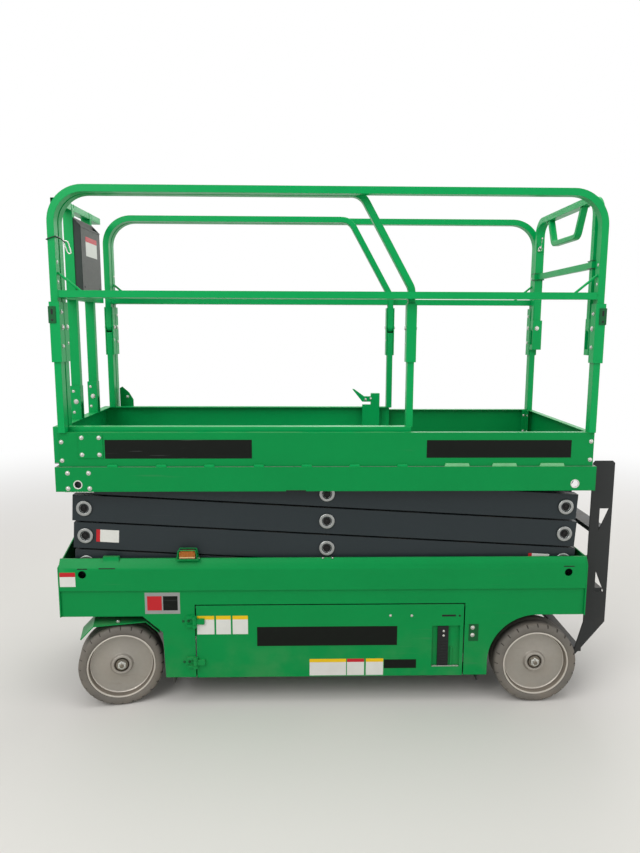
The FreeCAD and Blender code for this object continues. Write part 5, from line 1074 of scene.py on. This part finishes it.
def rail_fittings():
    mesh = bmesh.new()
    for word, side in SIDES:
        for x in (POST_FRONT_X, POST_REAR_X):
            pivot_bolts(mesh, x, side * POST_Y)
            inward = 1 if x < 0 else -1
            for z in (1564, 1700):
                hex_bolt(mesh, (x + inward * CHEEK_OUT, side * (POST_Y + 5), z), (inward, 0, 0), 6.0, 4.0)
            for z in (1818, 1895):
                dome_bolt(mesh, (x + inward * 14, side * (POST_Y + 4), z), (inward, 0, 0), 4.4)
    piece("main_bracket_bolts", "platform", mesh, [BOLT_ZINC], 32)

    mesh = bmesh.new()
    for word, side in SIDES:
        for x, low, high in ((POST_FRONT_X, -24, 6), (POST_REAR_X, -6, 24)):
            face = POST_Y + 26.3
            slab(mesh, (x + low, x + high), (side * face, side * (face + 3)), (1655, 1722), 0)
            slab(mesh, (x + (low + high) / 2 - 4, x + (low + high) / 2 + 4), (side * (face + 2), side * (face + 3.4)),
                 (1690, 1712), 1)
            slab(mesh, (x + (low + high) / 2 - 4, x + (low + high) / 2 + 4), (side * (face + 2), side * (face + 3.4)),
                 (1664, 1672), 1)
    piece("rail_lock_plates", "platform", mesh, [DARK_PLATE_PAINT_AND_SHADE, DARK_STEEL_AND_SHADE], 35, bevel=0.8)

    mesh = bmesh.new()
    for word, side in SIDES:
        for x in (POST_FRONT_X, SLIDE_REAR_X):
            pivot_bolts(mesh, x, side * SLIDE_POST_Y)
            dome_bolt(mesh, (x, side * (SLIDE_POST_Y + 24.4), 1560), (0, side, 0), 3.0)
            dome_bolt(mesh, (x - 20.3, side * (SLIDE_POST_Y - 6), 1575), (-1, 0, 0), 4.2)
            dome_bolt(mesh, (x + 20.3, side * (SLIDE_POST_Y - 6), 1575), (1, 0, 0), 4.2)
        pivot_bolts(mesh, -1179.5, side * 120, 1310, axis="y")
        for z in (1262, 1356):
            dome_bolt(mesh, (-1190, side * (120 + 20.3), z), (0, side, 0), 4.0)
            dome_bolt(mesh, (-1190, side * (120 - 20.3), z), (0, -side, 0), 4.0)
    dome_bolt(mesh, (188, 326, 1275), (0, -1, 0), 5.0)
    dome_bolt(mesh, (160, 326, 1270), (0, -1, 0), 4.5)
    piece("extension_bracket_bolts", "extension", mesh, [BOLT_ZINC], 32)

    for word, side in SIDES:
        mesh = bmesh.new()
        y = side * POST_Y
        for x, towards in ((POST_FRONT_X + 15.5, 1), (POST_REAR_X - 15.5, -1)):
            weld_round(mesh, (x - towards * 1.0, y, MID_RAIL), 19.6, 14.6, "yz")
        piece(f"main_rail_welds_{word}", "platform", mesh, [FINISHES["rail_green"]], 60)

        mesh = bmesh.new()
        y = side * SLIDE_POST_Y
        for x, towards in ((POST_FRONT_X + 15.5, 1), (SLIDE_REAR_X - 15.5, -1)):
            weld_round(mesh, (x - towards * 1.0, y, MID_RAIL), 19.6, 14.6, "yz")
        piece(f"extension_rail_welds_{word}", "extension", mesh, [FINISHES["rail_green"]], 60)


BOX_DEPTH = 32.0
BOX_SLOPE = 34.0


def front_rail_fittings():
    """Welds at the front rail's joints, and the document holder on it with its blank label."""
    mesh = bmesh.new()
    for side in (-1, 1):
        for z in (MID_RAIL, 2150.0):
            for edge in (-14.6, 14.6):
                spots = [(-1179.5 + a, side * 120 + edge, z + b) for a, b in
                         ((-19.4, -14), (-19.4, 14), (19.4, 14), (19.4, -14))]
                wire(mesh, spots, 1.8, closed=True, steps=6)
    for side in (-1, 1):
        for z in (MID_RAIL, 2150.0):
            outline_plate(mesh, ((-1197.5, z - 13.2), (-1161.5, z - 13.2), (-1161.5, z + 13.2),
                                 (-1197.5, z + 13.2)), "xz", side * 272.5, side * 275.0)
    piece("front_rail_welds", "front_rail", mesh, [FINISHES["rail_green"]], 60)

    box_low, box_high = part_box("document_box")
    front = box_low.x / MM
    rear = front + BOX_DEPTH
    low_y, high_y = box_low.y / MM, box_high.y / MM
    bottom, top = box_low.z / MM, box_high.z / MM
    mesh = bmesh.new()
    # Both cheeks are a darker grey than the front: painted shade on the holder's sides.
    cheek = ((front, bottom), (rear, bottom), (rear, top - BOX_SLOPE), (front, top))
    outline_plate(mesh, cheek, "xz", low_y, low_y + 3, 1)
    outline_plate(mesh, cheek, "xz", high_y - 3, high_y, 1)
    slab(mesh, (front, front + 3), (low_y + 2.5, high_y - 2.5), (bottom, top - 1), 0)
    slab(mesh, (rear - 3, rear), (low_y + 0.2, high_y - 0.2), (bottom, top - BOX_SLOPE), 0)
    slab(mesh, (front + 1, rear - 1), (low_y + 2.5, high_y - 2.5), (bottom, bottom + 3), 0)
    slab(mesh, (rear - 4, rear + 1.4), (low_y - 0.0, high_y), (top - BOX_SLOPE - 7, top - BOX_SLOPE), 0)
    for y in (low_y + 26, high_y - 26):
        dome_bolt(mesh, (rear, y, bottom + 26), (1, 0, 0), 4.0, 2)
    piece("document_holder", "front_rail", mesh, [FINISHES["box_grey"], SHADED_BOX_SIDE, DARK_STEEL_AND_SHADE], 35,
          bevel=1.0, replaced=["document_box"])

    mesh = bmesh.new()
    for z_low, z_high, finish in ((1952, 2014, WHITE), (2014, 2036, RED)):
        slab(mesh, (rear - 0.2, rear + 0.5), (-70, 88), (z_low, z_high), finish)
    piece("document_holder_label", "front_rail", mesh, VINYLS, bevel=0.1)


HOOK_X = -1103.0


def snap_hook():
    """A snap hook on a wire round the near main rail's front upright."""
    mesh = bmesh.new()
    y = -POST_Y + 4.0
    post = [(POST_FRONT_X + 17.5 * a, -POST_Y + 23.5 * b, 1986 + 6 * a) for a, b in
            ((-1, -1), (0, -1.05), (1, -1), (1.06, 0), (1, 1), (0, 1.05), (-1, 1), (-1.06, 0))]
    wire(mesh, post, 2.2, closed=True, steps=8, finish=1)
    wire(mesh, [(POST_FRONT_X + 18, y - 8, 1990), (POST_FRONT_X + 34, y - 6, 1984), (HOOK_X - 3, y, 1970)], 2.2,
         steps=8, finish=1)
    outline = [(9 * math.sin(math.radians(a)), 16 + 9 * math.cos(math.radians(a))) for a in range(-90, 91, 15)]
    outline += [(7 * math.sin(math.radians(a)), -18 + 7 * math.cos(math.radians(a))) for a in range(90, 271, 15)]
    wire(mesh, [(HOOK_X + a + 0.3 * (16 - b), y, 1953 + b) for a, b in outline], 2.6, closed=True, steps=10)
    piece("snap_hook", "platform", mesh, [BOLT_ZINC, DARK_STEEL_AND_SHADE], 50)


def entry_fittings():
    """Pivot bolts of the entry frame, its latch pins with lanyards, and welds round its grab loop."""
    mesh = bmesh.new()
    for word, side in SIDES:
        pivot_bolts(mesh, 1041, side * 345, axis="y")
        dome_bolt(mesh, (1041 + 26.5, side * 345, 1570), (1, 0, 0), 4.6)
        dome_bolt(mesh, (1041 + 26.5, side * 345, 1660), (1, 0, 0), 4.6)
    piece("entry_bracket_bolts", "platform", mesh, [BOLT_ZINC], 32)

    mesh = bmesh.new()
    for word, side in SIDES:
        inner = side * (345 - 14)
        latch_pin(mesh, (1036, inner, 2046), (0, -side, 0), (1048, inner - side * 1, 2092), 0, 0)
        slab(mesh, (1026, 1056), (inner, inner - side * 4), (2024, 2066), 1)
        dome_bolt(mesh, (1032, inner - side * 4, 2031), (0, -side, 0), 3.4, 0)
        spots = [(1041 + a, side * (200 + 12), 2156 + b) for a, b in ((-14, -1), (14, -1), (14, -4), (-14, -4))]
        wire(mesh, spots, 1.6, closed=True, steps=6, finish=1)
    piece("entry_frame_latches", "entry_frame", mesh, [BOLT_ZINC, FINISHES["rail_green"]], 40)

    mesh = bmesh.new()
    for word, side in SIDES:
        inner = side * (345 - 19.6)
        disc_piece(mesh, ((0.0, 6.0), (5.0, 6.0), (6.0, 4.8)), (1041, inner, 1900), (0, -side, 0), 20, 1)
        for z in (1883.6, 1914.2):
            slab(mesh, (1014, 1068), (side * 324, side * 366), (z, z + 2.2), 0)
    piece("entry_bar_collars", "entry_bar", mesh, [FINISHES["frame_dark"], BOLT_ZINC], 40)


# Beacons

BEACON_X = -657.0


def beacons():
    """Ribbed amber lenses with a bright band, each under a green guard of bent wire."""
    low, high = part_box("beacons")
    top = high.z / MM
    floor = low.z / MM
    for word, side in SIDES:
        y_out = abs((high.y if side > 0 else low.y) / MM)
        middle = side * (y_out - 22.0)
        guard = bmesh.new()
        slab(guard, (BEACON_X - 50, BEACON_X + 50), (side * (y_out - 36), side * y_out), (floor, floor + 4))
        for shift in (-15.0, 0.0, 15.0):
            spots = [(BEACON_X - 44, middle + shift, floor + 2), (BEACON_X - 41, middle + shift, floor + 16)]
            spots += arc((BEACON_X - 32, middle + shift, top - 7.4), 5.4, 170, 90, 4)
            spots += arc((BEACON_X + 32, middle + shift, top - 7.4), 5.4, 90, 10, 4)
            spots += [(BEACON_X + 41, middle + shift, floor + 16), (BEACON_X + 44, middle + shift, floor + 2)]
            if shift:
                wire(guard, spots, 2.0, steps=8)
        for x, z in ((-36.5, top - 8.0), (36.5, top - 8.0), (-41.0, floor + 17), (41.0, floor + 17)):
            wire(guard, [(BEACON_X + x, middle - 15, z), (BEACON_X + x, middle + 15, z)], 1.9, steps=8)
        piece(f"beacon_guard_{word}", "chassis", guard, [FINISHES["chassis_green"]], 45,
              replaced=["beacons"])

        lens = bmesh.new()
        ribs = 12
        for k in range(ribs):
            left = BEACON_X - 33 + k * 5.5
            for z_low, z_high, finish in ((floor + 4, floor + 12, 1), (floor + 12, floor + 36, 0)):
                lean_low = abs(left + 2.75 - BEACON_X) / 33
                trim = 5.0 * max(0.0, lean_low - 0.8) / 0.2
                slab(lens, (left, left + 5.1), (middle - 13.5 + (k % 2), middle + 13.5 - (k % 2)),
                     (z_low, z_high - (trim if finish == 0 else 0.0)), finish)
        piece(f"beacon_lens_{word}", "chassis", lens, [FINISHES["amber_lens"], LENS_BAND], 50,
              bevel=0.9)

        foot = bmesh.new()
        dome_bolt(foot, (BEACON_X + 47, middle, floor + 4), (0, 0, 1), 3.0)
        slab(foot, (BEACON_X - 36, BEACON_X + 36), (middle - 15, middle + 15), (floor + 3, floor + 6.5), 1)
        piece(f"beacon_seat_{word}", "chassis", foot, [BOLT_ZINC, BLACK_GRIP], 40)


# What the trays carry

def battery_pack():
    """Four deep-cycle batteries in a row with their caps, posts and links, in the pack's own space."""
    low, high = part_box("battery_pack")
    x0, y0, z0 = (value / MM for value in low)
    x1, y1, z1 = (value / MM for value in high)
    count = 4
    pitch = (x1 - x0) / count
    case_top = z1 - 26
    mesh = bmesh.new()
    posts = []
    for k in range(count):
        left = x0 + k * pitch
        slab(mesh, (left + 1.5, left + pitch - 1.5), (y0 + 2, y1 - 2), (z0, case_top - 22), 0)
        slab(mesh, (left + 0.5, left + pitch - 0.5), (y0, y1), (case_top - 24, case_top), 0)
        for rib in range(6):
            rib_x = left + 22 + rib * (pitch - 44) / 5
            slab(mesh, (rib_x - 3, rib_x + 3), (y0 + 0.5, y1 - 0.5), (z0 + 14, case_top - 30), 0)
        slab(mesh, (left + 34, left + pitch - 34), (y0 + 86, y0 + 128), (case_top - 1, case_top + 9), 1)
        for cap_k in range(3):
            spot = (left + pitch / 2 + (cap_k - 1) * 56, y0 + 107, case_top + 8)
            disc_piece(mesh, ((0, 17), (7, 17), (9, 14)), spot, (0, 0, 1), 20, 1)
        for reach, y in ((26, y0 + 34), (pitch - 26, y1 - 34)):
            spot = (left + reach, y, case_top)
            disc_piece(mesh, ((-1, 12), (5, 12), (5.5, 8.5), (14, 8.0)), spot, (0, 0, 1), 20, 2)
            hex_bolt(mesh, (spot[0], spot[1], case_top + 13.5), (0, 0, 1), 6.0, 3.5, washer=False, finish=2)
            posts.append(Vector((spot[0], spot[1], case_top + 10)))
    piece("batteries", "door_left", mesh,
          [FINISHES["battery_case"], BLACK_GRIP, FINISHES["bare_steel"]], 35, bevel=1.2,
          replaced=["battery_pack"])

    mesh = bmesh.new()
    for k in range(count - 1):
        start, end = posts[2 * k + 1], posts[2 * k + 2]
        spots = []
        for step in range(13):
            share = step / 12
            spots.append(start.lerp(end, share) + Vector((0, 0, 9.0 * math.sin(math.pi * share))))
        wire(mesh, spots, 6.5, steps=12, finish=k % 2)
    piece("battery_links", "door_left", mesh, [CABLE_BLACK, CABLE_RED], 60)


def power_unit():
    """The hydraulic tank, the motor with its pump and the valve block on the far tray."""
    low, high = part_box("power_unit")
    x0, y0, z0 = (value / MM for value in low)
    x1, y1, z1 = (value / MM for value in high)
    middle_y = (y0 + y1) / 2
    motor_z = z0 + 78
    mesh = bmesh.new()
    tank_end = x0 + 320
    slab(mesh, (x0, tank_end), (y0 + 6, y1 - 6), (z0, z1 - 14), 0)
    disc_piece(mesh, ((0, 26), (6, 26), (7, 22), (13.8, 22)), (x0 + 70, middle_y, z1 - 14), (0, 0, 1), 28, 1)
    for k in range(3):
        slab(mesh, (tank_end - 0.5, tank_end + 3), (y0 + 26, y1 - 26), (z0 + 30 + k * 46, z0 + 36 + k * 46), 0)
    slab(mesh, (tank_end + 2, tank_end + 98), (middle_y - 48, middle_y + 48), (z0, motor_z + 52), 2)
    for k in range(3):
        x = tank_end + 22 + k * 28
        disc_piece(mesh, ((0, 11), (38, 11), (40, 8)), (x, middle_y, motor_z + 51), (0, 0, 1), 20, 1)
        hex_bolt(mesh, (x, middle_y, motor_z + 90), (0, 0, 1), 8.0, 4.0, washer=False, finish=2)
    start = tank_end + 96
    disc_piece(mesh, ((0, 50), (22, 50), (24, 60), (250, 60), (256, 54), (268, 54)), (start, middle_y, motor_z),
               (1, 0, 0), 48, 1)
    for k in range(7):
        disc_piece(mesh, ((0, 61.5), (5, 61.5)), (start + 40 + k * 28, middle_y, motor_z), (1, 0, 0), 48, 1)
    for edge in (-44, 44):
        slab(mesh, (start + 30, start + 240), (middle_y + edge - 8, middle_y + edge + 8), (z0, motor_z - 36), 1)
    slab(mesh, (start + 286, x1), (y0 + 20, y1 - 20), (z0, z1 - 40), 1)
    for k in range(8):
        slab(mesh, (start + 296, x1 - 10), (y0 + 34 + k * 20, y0 + 38 + k * 20), (z1 - 41, z1 - 20), 1)
    piece("hydraulic_unit", "door_right", mesh,
          [FINISHES["frame_dark"], BLACK_GRIP, FINISHES["bare_steel"]], 35, bevel=1.5, replaced=["power_unit"])


# Steering and the front of the chassis

def steering_fittings():
    for word, side in SIDES:
        joint = JOINTS["steer" if side < 0 else "steer_right"]
        pivot = joint.get("pos_m") or joint.get("pos")
        x, y = pivot[0] / MM, pivot[1] / MM
        mesh = bmesh.new()
        disc_piece(mesh, ((0, 22), (3, 22), (3.5, 20)), (x, y, 269), (0, 0, 1), 30, 0)
        disc_piece(mesh, ((3, 15), (11, 15), (12.5, 13)), (x, y, 269), (0, 0, 1), 6, 0)
        disc_piece(mesh, ((11, 8), (15, 8), (16, 7)), (x, y, 269), (0, 0, 1), 20, 0)
        low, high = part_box(f"knuckle_{word}")
        spot = ((low.x + high.x) / 2 / MM, side * 372.0, 375.0)
        hex_bolt(mesh, spot, (0, 0, 1), 7.0, 5.0)
        piece(f"kingpin_nut_{word}", f"knuckle_{word}", mesh, [BOLT_ZINC], 32)


def chassis_front_fittings():
    """Bolts on the front end plate and the rear end plate."""
    mesh = bmesh.new()
    low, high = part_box("chassis_ends")
    front = low.x / MM
    rear = high.x / MM
    for y in (-330, -110, 110, 330):
        dome_bolt(mesh, (front, y, 470), (-1, 0, 0), 6.0)
    for y in (-270, 270):
        for z in (452, 600):
            dome_bolt(mesh, (rear, y + (12 if y > 0 else -12) * 5, z), (1, 0, 0), 6.0)
    piece("end_plate_bolts", "chassis", mesh, [BOLT_ZINC], 35)


# Ladder and slide-out deck

def ladder_steps():
    """Raised grip dimples on the ladder's two steps."""
    mesh = bmesh.new()
    for height, front, depth in ((462, 1109, 78), (747, 1109, 78)):
        top = step_top(height)
        for row in range(3):
            for column in range(12):
                x = front + 16 + row * 22
                y = -242 + column * 44 + (row % 2) * 10
                disc_piece(mesh, ((-0.5, 6.5), (0.8, 6.2), (1.8, 4.6)), (x, y, top), (0, 0, 1), 12)
    piece("ladder_step_grips", "chassis", mesh, [FINISHES["frame_dark"]], 40)



def step_top(height):
    """The top face of the ladder's step nearest to a height."""
    tops = sorted({round(v.co.z / MM, 1) for v in frame["nodes"]["ladder"].data.vertices
                   if abs(v.co.y) < 0.285 and v.co.x > 1.07})
    return min(tops, key=lambda z: abs(z - height - 4))


def cylinder_fittings():
    """The gland nut and wiper where the rod leaves the barrel, and the barrel's hose ports."""
    barrel_low, barrel_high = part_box("lift_cylinder_barrel")
    rod_low, rod_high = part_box("lift_cylinder_rod")
    pins = JOINTS["cylinder_pin"]
    pivot = Vector(pins.get("pos_m") or pins.get("pos")) / MM
    stroke = Vector(JOINTS["cylinder_stroke"]["axis"]).normalized()
    mesh = bmesh.new()
    gland = pivot + stroke * 1300
    turned(mesh, ((-34, 45.5), (-32, 48.5), (-3, 48.5), (0.6, 46.0), (1.6, 40.0), (1.6, 30.0), (3.4, 28.0),
                  (3.4, 25.8), (-2.0, 25.8)), gland, stroke, 48, 0)
    for k in range(4):
        disc_piece(mesh, ((47.6, 4.0), (49.2, 4.0)), gland - stroke * 18,
                   Matrix.Rotation(math.radians(90 * k + 45), 3, stroke) @ stroke.orthogonal(), 12, 1)
    for reach in (110, 1190):
        at = pivot + stroke * reach
        up = (Vector((0, 0, 1)) - stroke * stroke.z).normalized()
        disc_piece(mesh, ((43, 14), (53, 14), (54, 12)), at, up, 20, 0)
        disc_piece(mesh, ((54, 11), (64, 11), (65, 9)), at, up, 6, 1)
    piece("cylinder_gland", "barrel", mesh, [FINISHES["frame_dark"], BOLT_ZINC], 35)


def deck_edges():
    """A bright wear strip on the slide-out deck's rear edge, and its rivets."""
    low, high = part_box("extension_deck")
    rear = high.x / MM
    top = high.z / MM
    mesh = bmesh.new()
    outline_plate(mesh, ((rear - 52, top - 0.2), (rear - 52, top + 1.2), (rear - 2, top + 1.6), (rear, top - 0.2)),
                  "xz", -322, 322, 0)
    for k in range(9):
        dome_bolt(mesh, (rear - 30, -300 + k * 75, top + 1.3), (0, 0, 1), 3.6, 0)
    piece("deck_wear_strip", "extension", mesh, [FINISHES["bare_steel"]], 35)


# Stage: floor, light and camera

def studio():
    """A pale floor that fades to white, a soft key light, a fill light and a top light."""
    mesh = bmesh.new()
    bmesh.ops.create_circle(mesh, cap_ends=True, radius=14.0, segments=96)
    data = bpy.data.meshes.new("studio_floor")
    mesh.to_mesh(data)
    mesh.free()
    floor = bpy.data.objects.new("studio_floor", data)
    bpy.context.scene.collection.objects.link(floor)
    material, tree, skin = blank_material("pale floor")
    skin.inputs["Roughness"].default_value = 0.65
    skin.inputs["Base Color"].default_value = (0.66, 0.64, 0.61, 1)
    place = tree.nodes.new("ShaderNodeTexCoord")
    reach = tree.nodes.new("ShaderNodeVectorMath")
    reach.operation = "LENGTH"
    join(tree, place.outputs["Object"], reach.inputs[0])
    fade = remap(tree, reach.outputs["Value"], 2.2, 7.0)
    glow = tree.nodes.new("ShaderNodeEmission")
    glow.inputs["Color"].default_value = (1, 1, 1, 1)
    blend = tree.nodes.new("ShaderNodeMixShader")
    path = tree.nodes.new("ShaderNodeLightPath")
    seen = sums(tree, "ADD", path.outputs["Is Camera Ray"], path.outputs["Is Glossy Ray"], clamp=True)
    join(tree, sums(tree, "MULTIPLY", fade, seen), blend.inputs[0])
    join(tree, skin.outputs[0], blend.inputs[1])
    join(tree, glow.outputs[0], blend.inputs[2])
    join(tree, blend.outputs[0], tree.nodes["Material Output"].inputs["Surface"])
    data.materials.append(material)

    for name, size, watts, spot, aim in (
        ("key_light", 4.0, 200.0, (-3.4, -4.2, 4.6), (0, 0, 1.1)),
        ("fill_light", 5.0, 80.0, (4.6, -3.0, 2.6), (0, 0, 1.0)),
        ("back_light", 4.0, 110.0, (1.5, 4.6, 4.4), (0, 0, 1.2)),
        ("top_light", 5.0, 150.0, (0.0, 0.0, 5.6), (0, 0, 0.5)),
    ):
        lamp = bpy.data.lights.new(name, "AREA")
        lamp.size = size
        lamp.energy = watts
        made = bpy.data.objects.new(name, lamp)
        made.location = spot
        made.rotation_euler = (Vector(aim) - Vector(spot)).to_track_quat("-Z", "Y").to_euler()
        bpy.context.scene.collection.objects.link(made)

    world = bpy.data.worlds.new("studio_air")
    bpy.context.scene.world = world
    world.use_nodes = True
    tree = world.node_tree
    light = tree.nodes["Background"]
    light.inputs["Color"].default_value = (1.0, 1.0, 1.0, 1)
    light.inputs["Strength"].default_value = 0.45
    white = tree.nodes.new("ShaderNodeBackground")
    white.inputs["Color"].default_value = (1, 1, 1, 1)
    white.inputs["Strength"].default_value = 1.0
    path = tree.nodes.new("ShaderNodeLightPath")
    seen = sums(tree, "ADD", path.outputs["Is Camera Ray"],
                sums(tree, "ADD", path.outputs["Is Glossy Ray"], path.outputs["Is Transmission Ray"]), clamp=True)
    blend = tree.nodes.new("ShaderNodeMixShader")
    join(tree, seen, blend.inputs[0])
    join(tree, light.outputs[0], blend.inputs[1])
    join(tree, white.outputs[0], blend.inputs[2])
    join(tree, blend.outputs[0], tree.nodes["World Output"].inputs["Surface"])
    bpy.context.scene.view_settings.view_transform = "Standard"


CAMERA_SPOT = Vector((-0.1597, -3.138, 1.644))
LOOK_RIGHT = Vector((0.99972, -0.0237, 0.0))
LOOK_LEVEL = Vector((0.0237, 0.9997, 0.0))
LOOK_DOWN = 0.148
CAMERA_ROLL = 0.0032
LENS = 28.2


def camera():
    """The photograph's place and direction."""
    level = LOOK_LEVEL.normalized()
    forward = level * math.cos(LOOK_DOWN) - Vector((0, 0, math.sin(LOOK_DOWN)))
    upward = level * math.sin(LOOK_DOWN) + Vector((0, 0, math.cos(LOOK_DOWN)))
    right = LOOK_RIGHT.normalized()
    across = right * math.cos(CAMERA_ROLL) + upward * math.sin(CAMERA_ROLL)
    above = upward * math.cos(CAMERA_ROLL) - right * math.sin(CAMERA_ROLL)
    lens = bpy.data.cameras.new("camera")
    lens.lens = LENS
    lens.sensor_width = 36.0
    lens.sensor_fit = "AUTO"
    made = bpy.data.objects.new("camera", lens)
    turn = Matrix((across, above, -forward)).transposed().to_4x4()
    made.matrix_world = Matrix.Translation(CAMERA_SPOT) @ turn
    bpy.context.scene.collection.objects.link(made)
    bpy.context.scene.camera = made


dress_frame()
for end in ("front", "rear"):
    for word, side in SIDES:
        wheel(end, word, side)
door_labels()
chassis_labels()
platform_strips()
arm_labels()
platform_fittings()
board_corners()
bent_tubes()
chassis_fittings()
door_fittings()
arm_pins()
rail_fittings()
front_rail_fittings()
snap_hook()
entry_fittings()
beacons()
battery_pack()
power_unit()
steering_fittings()
chassis_front_fittings()
ladder_steps()
cylinder_fittings()
deck_edges()
studio()
camera()
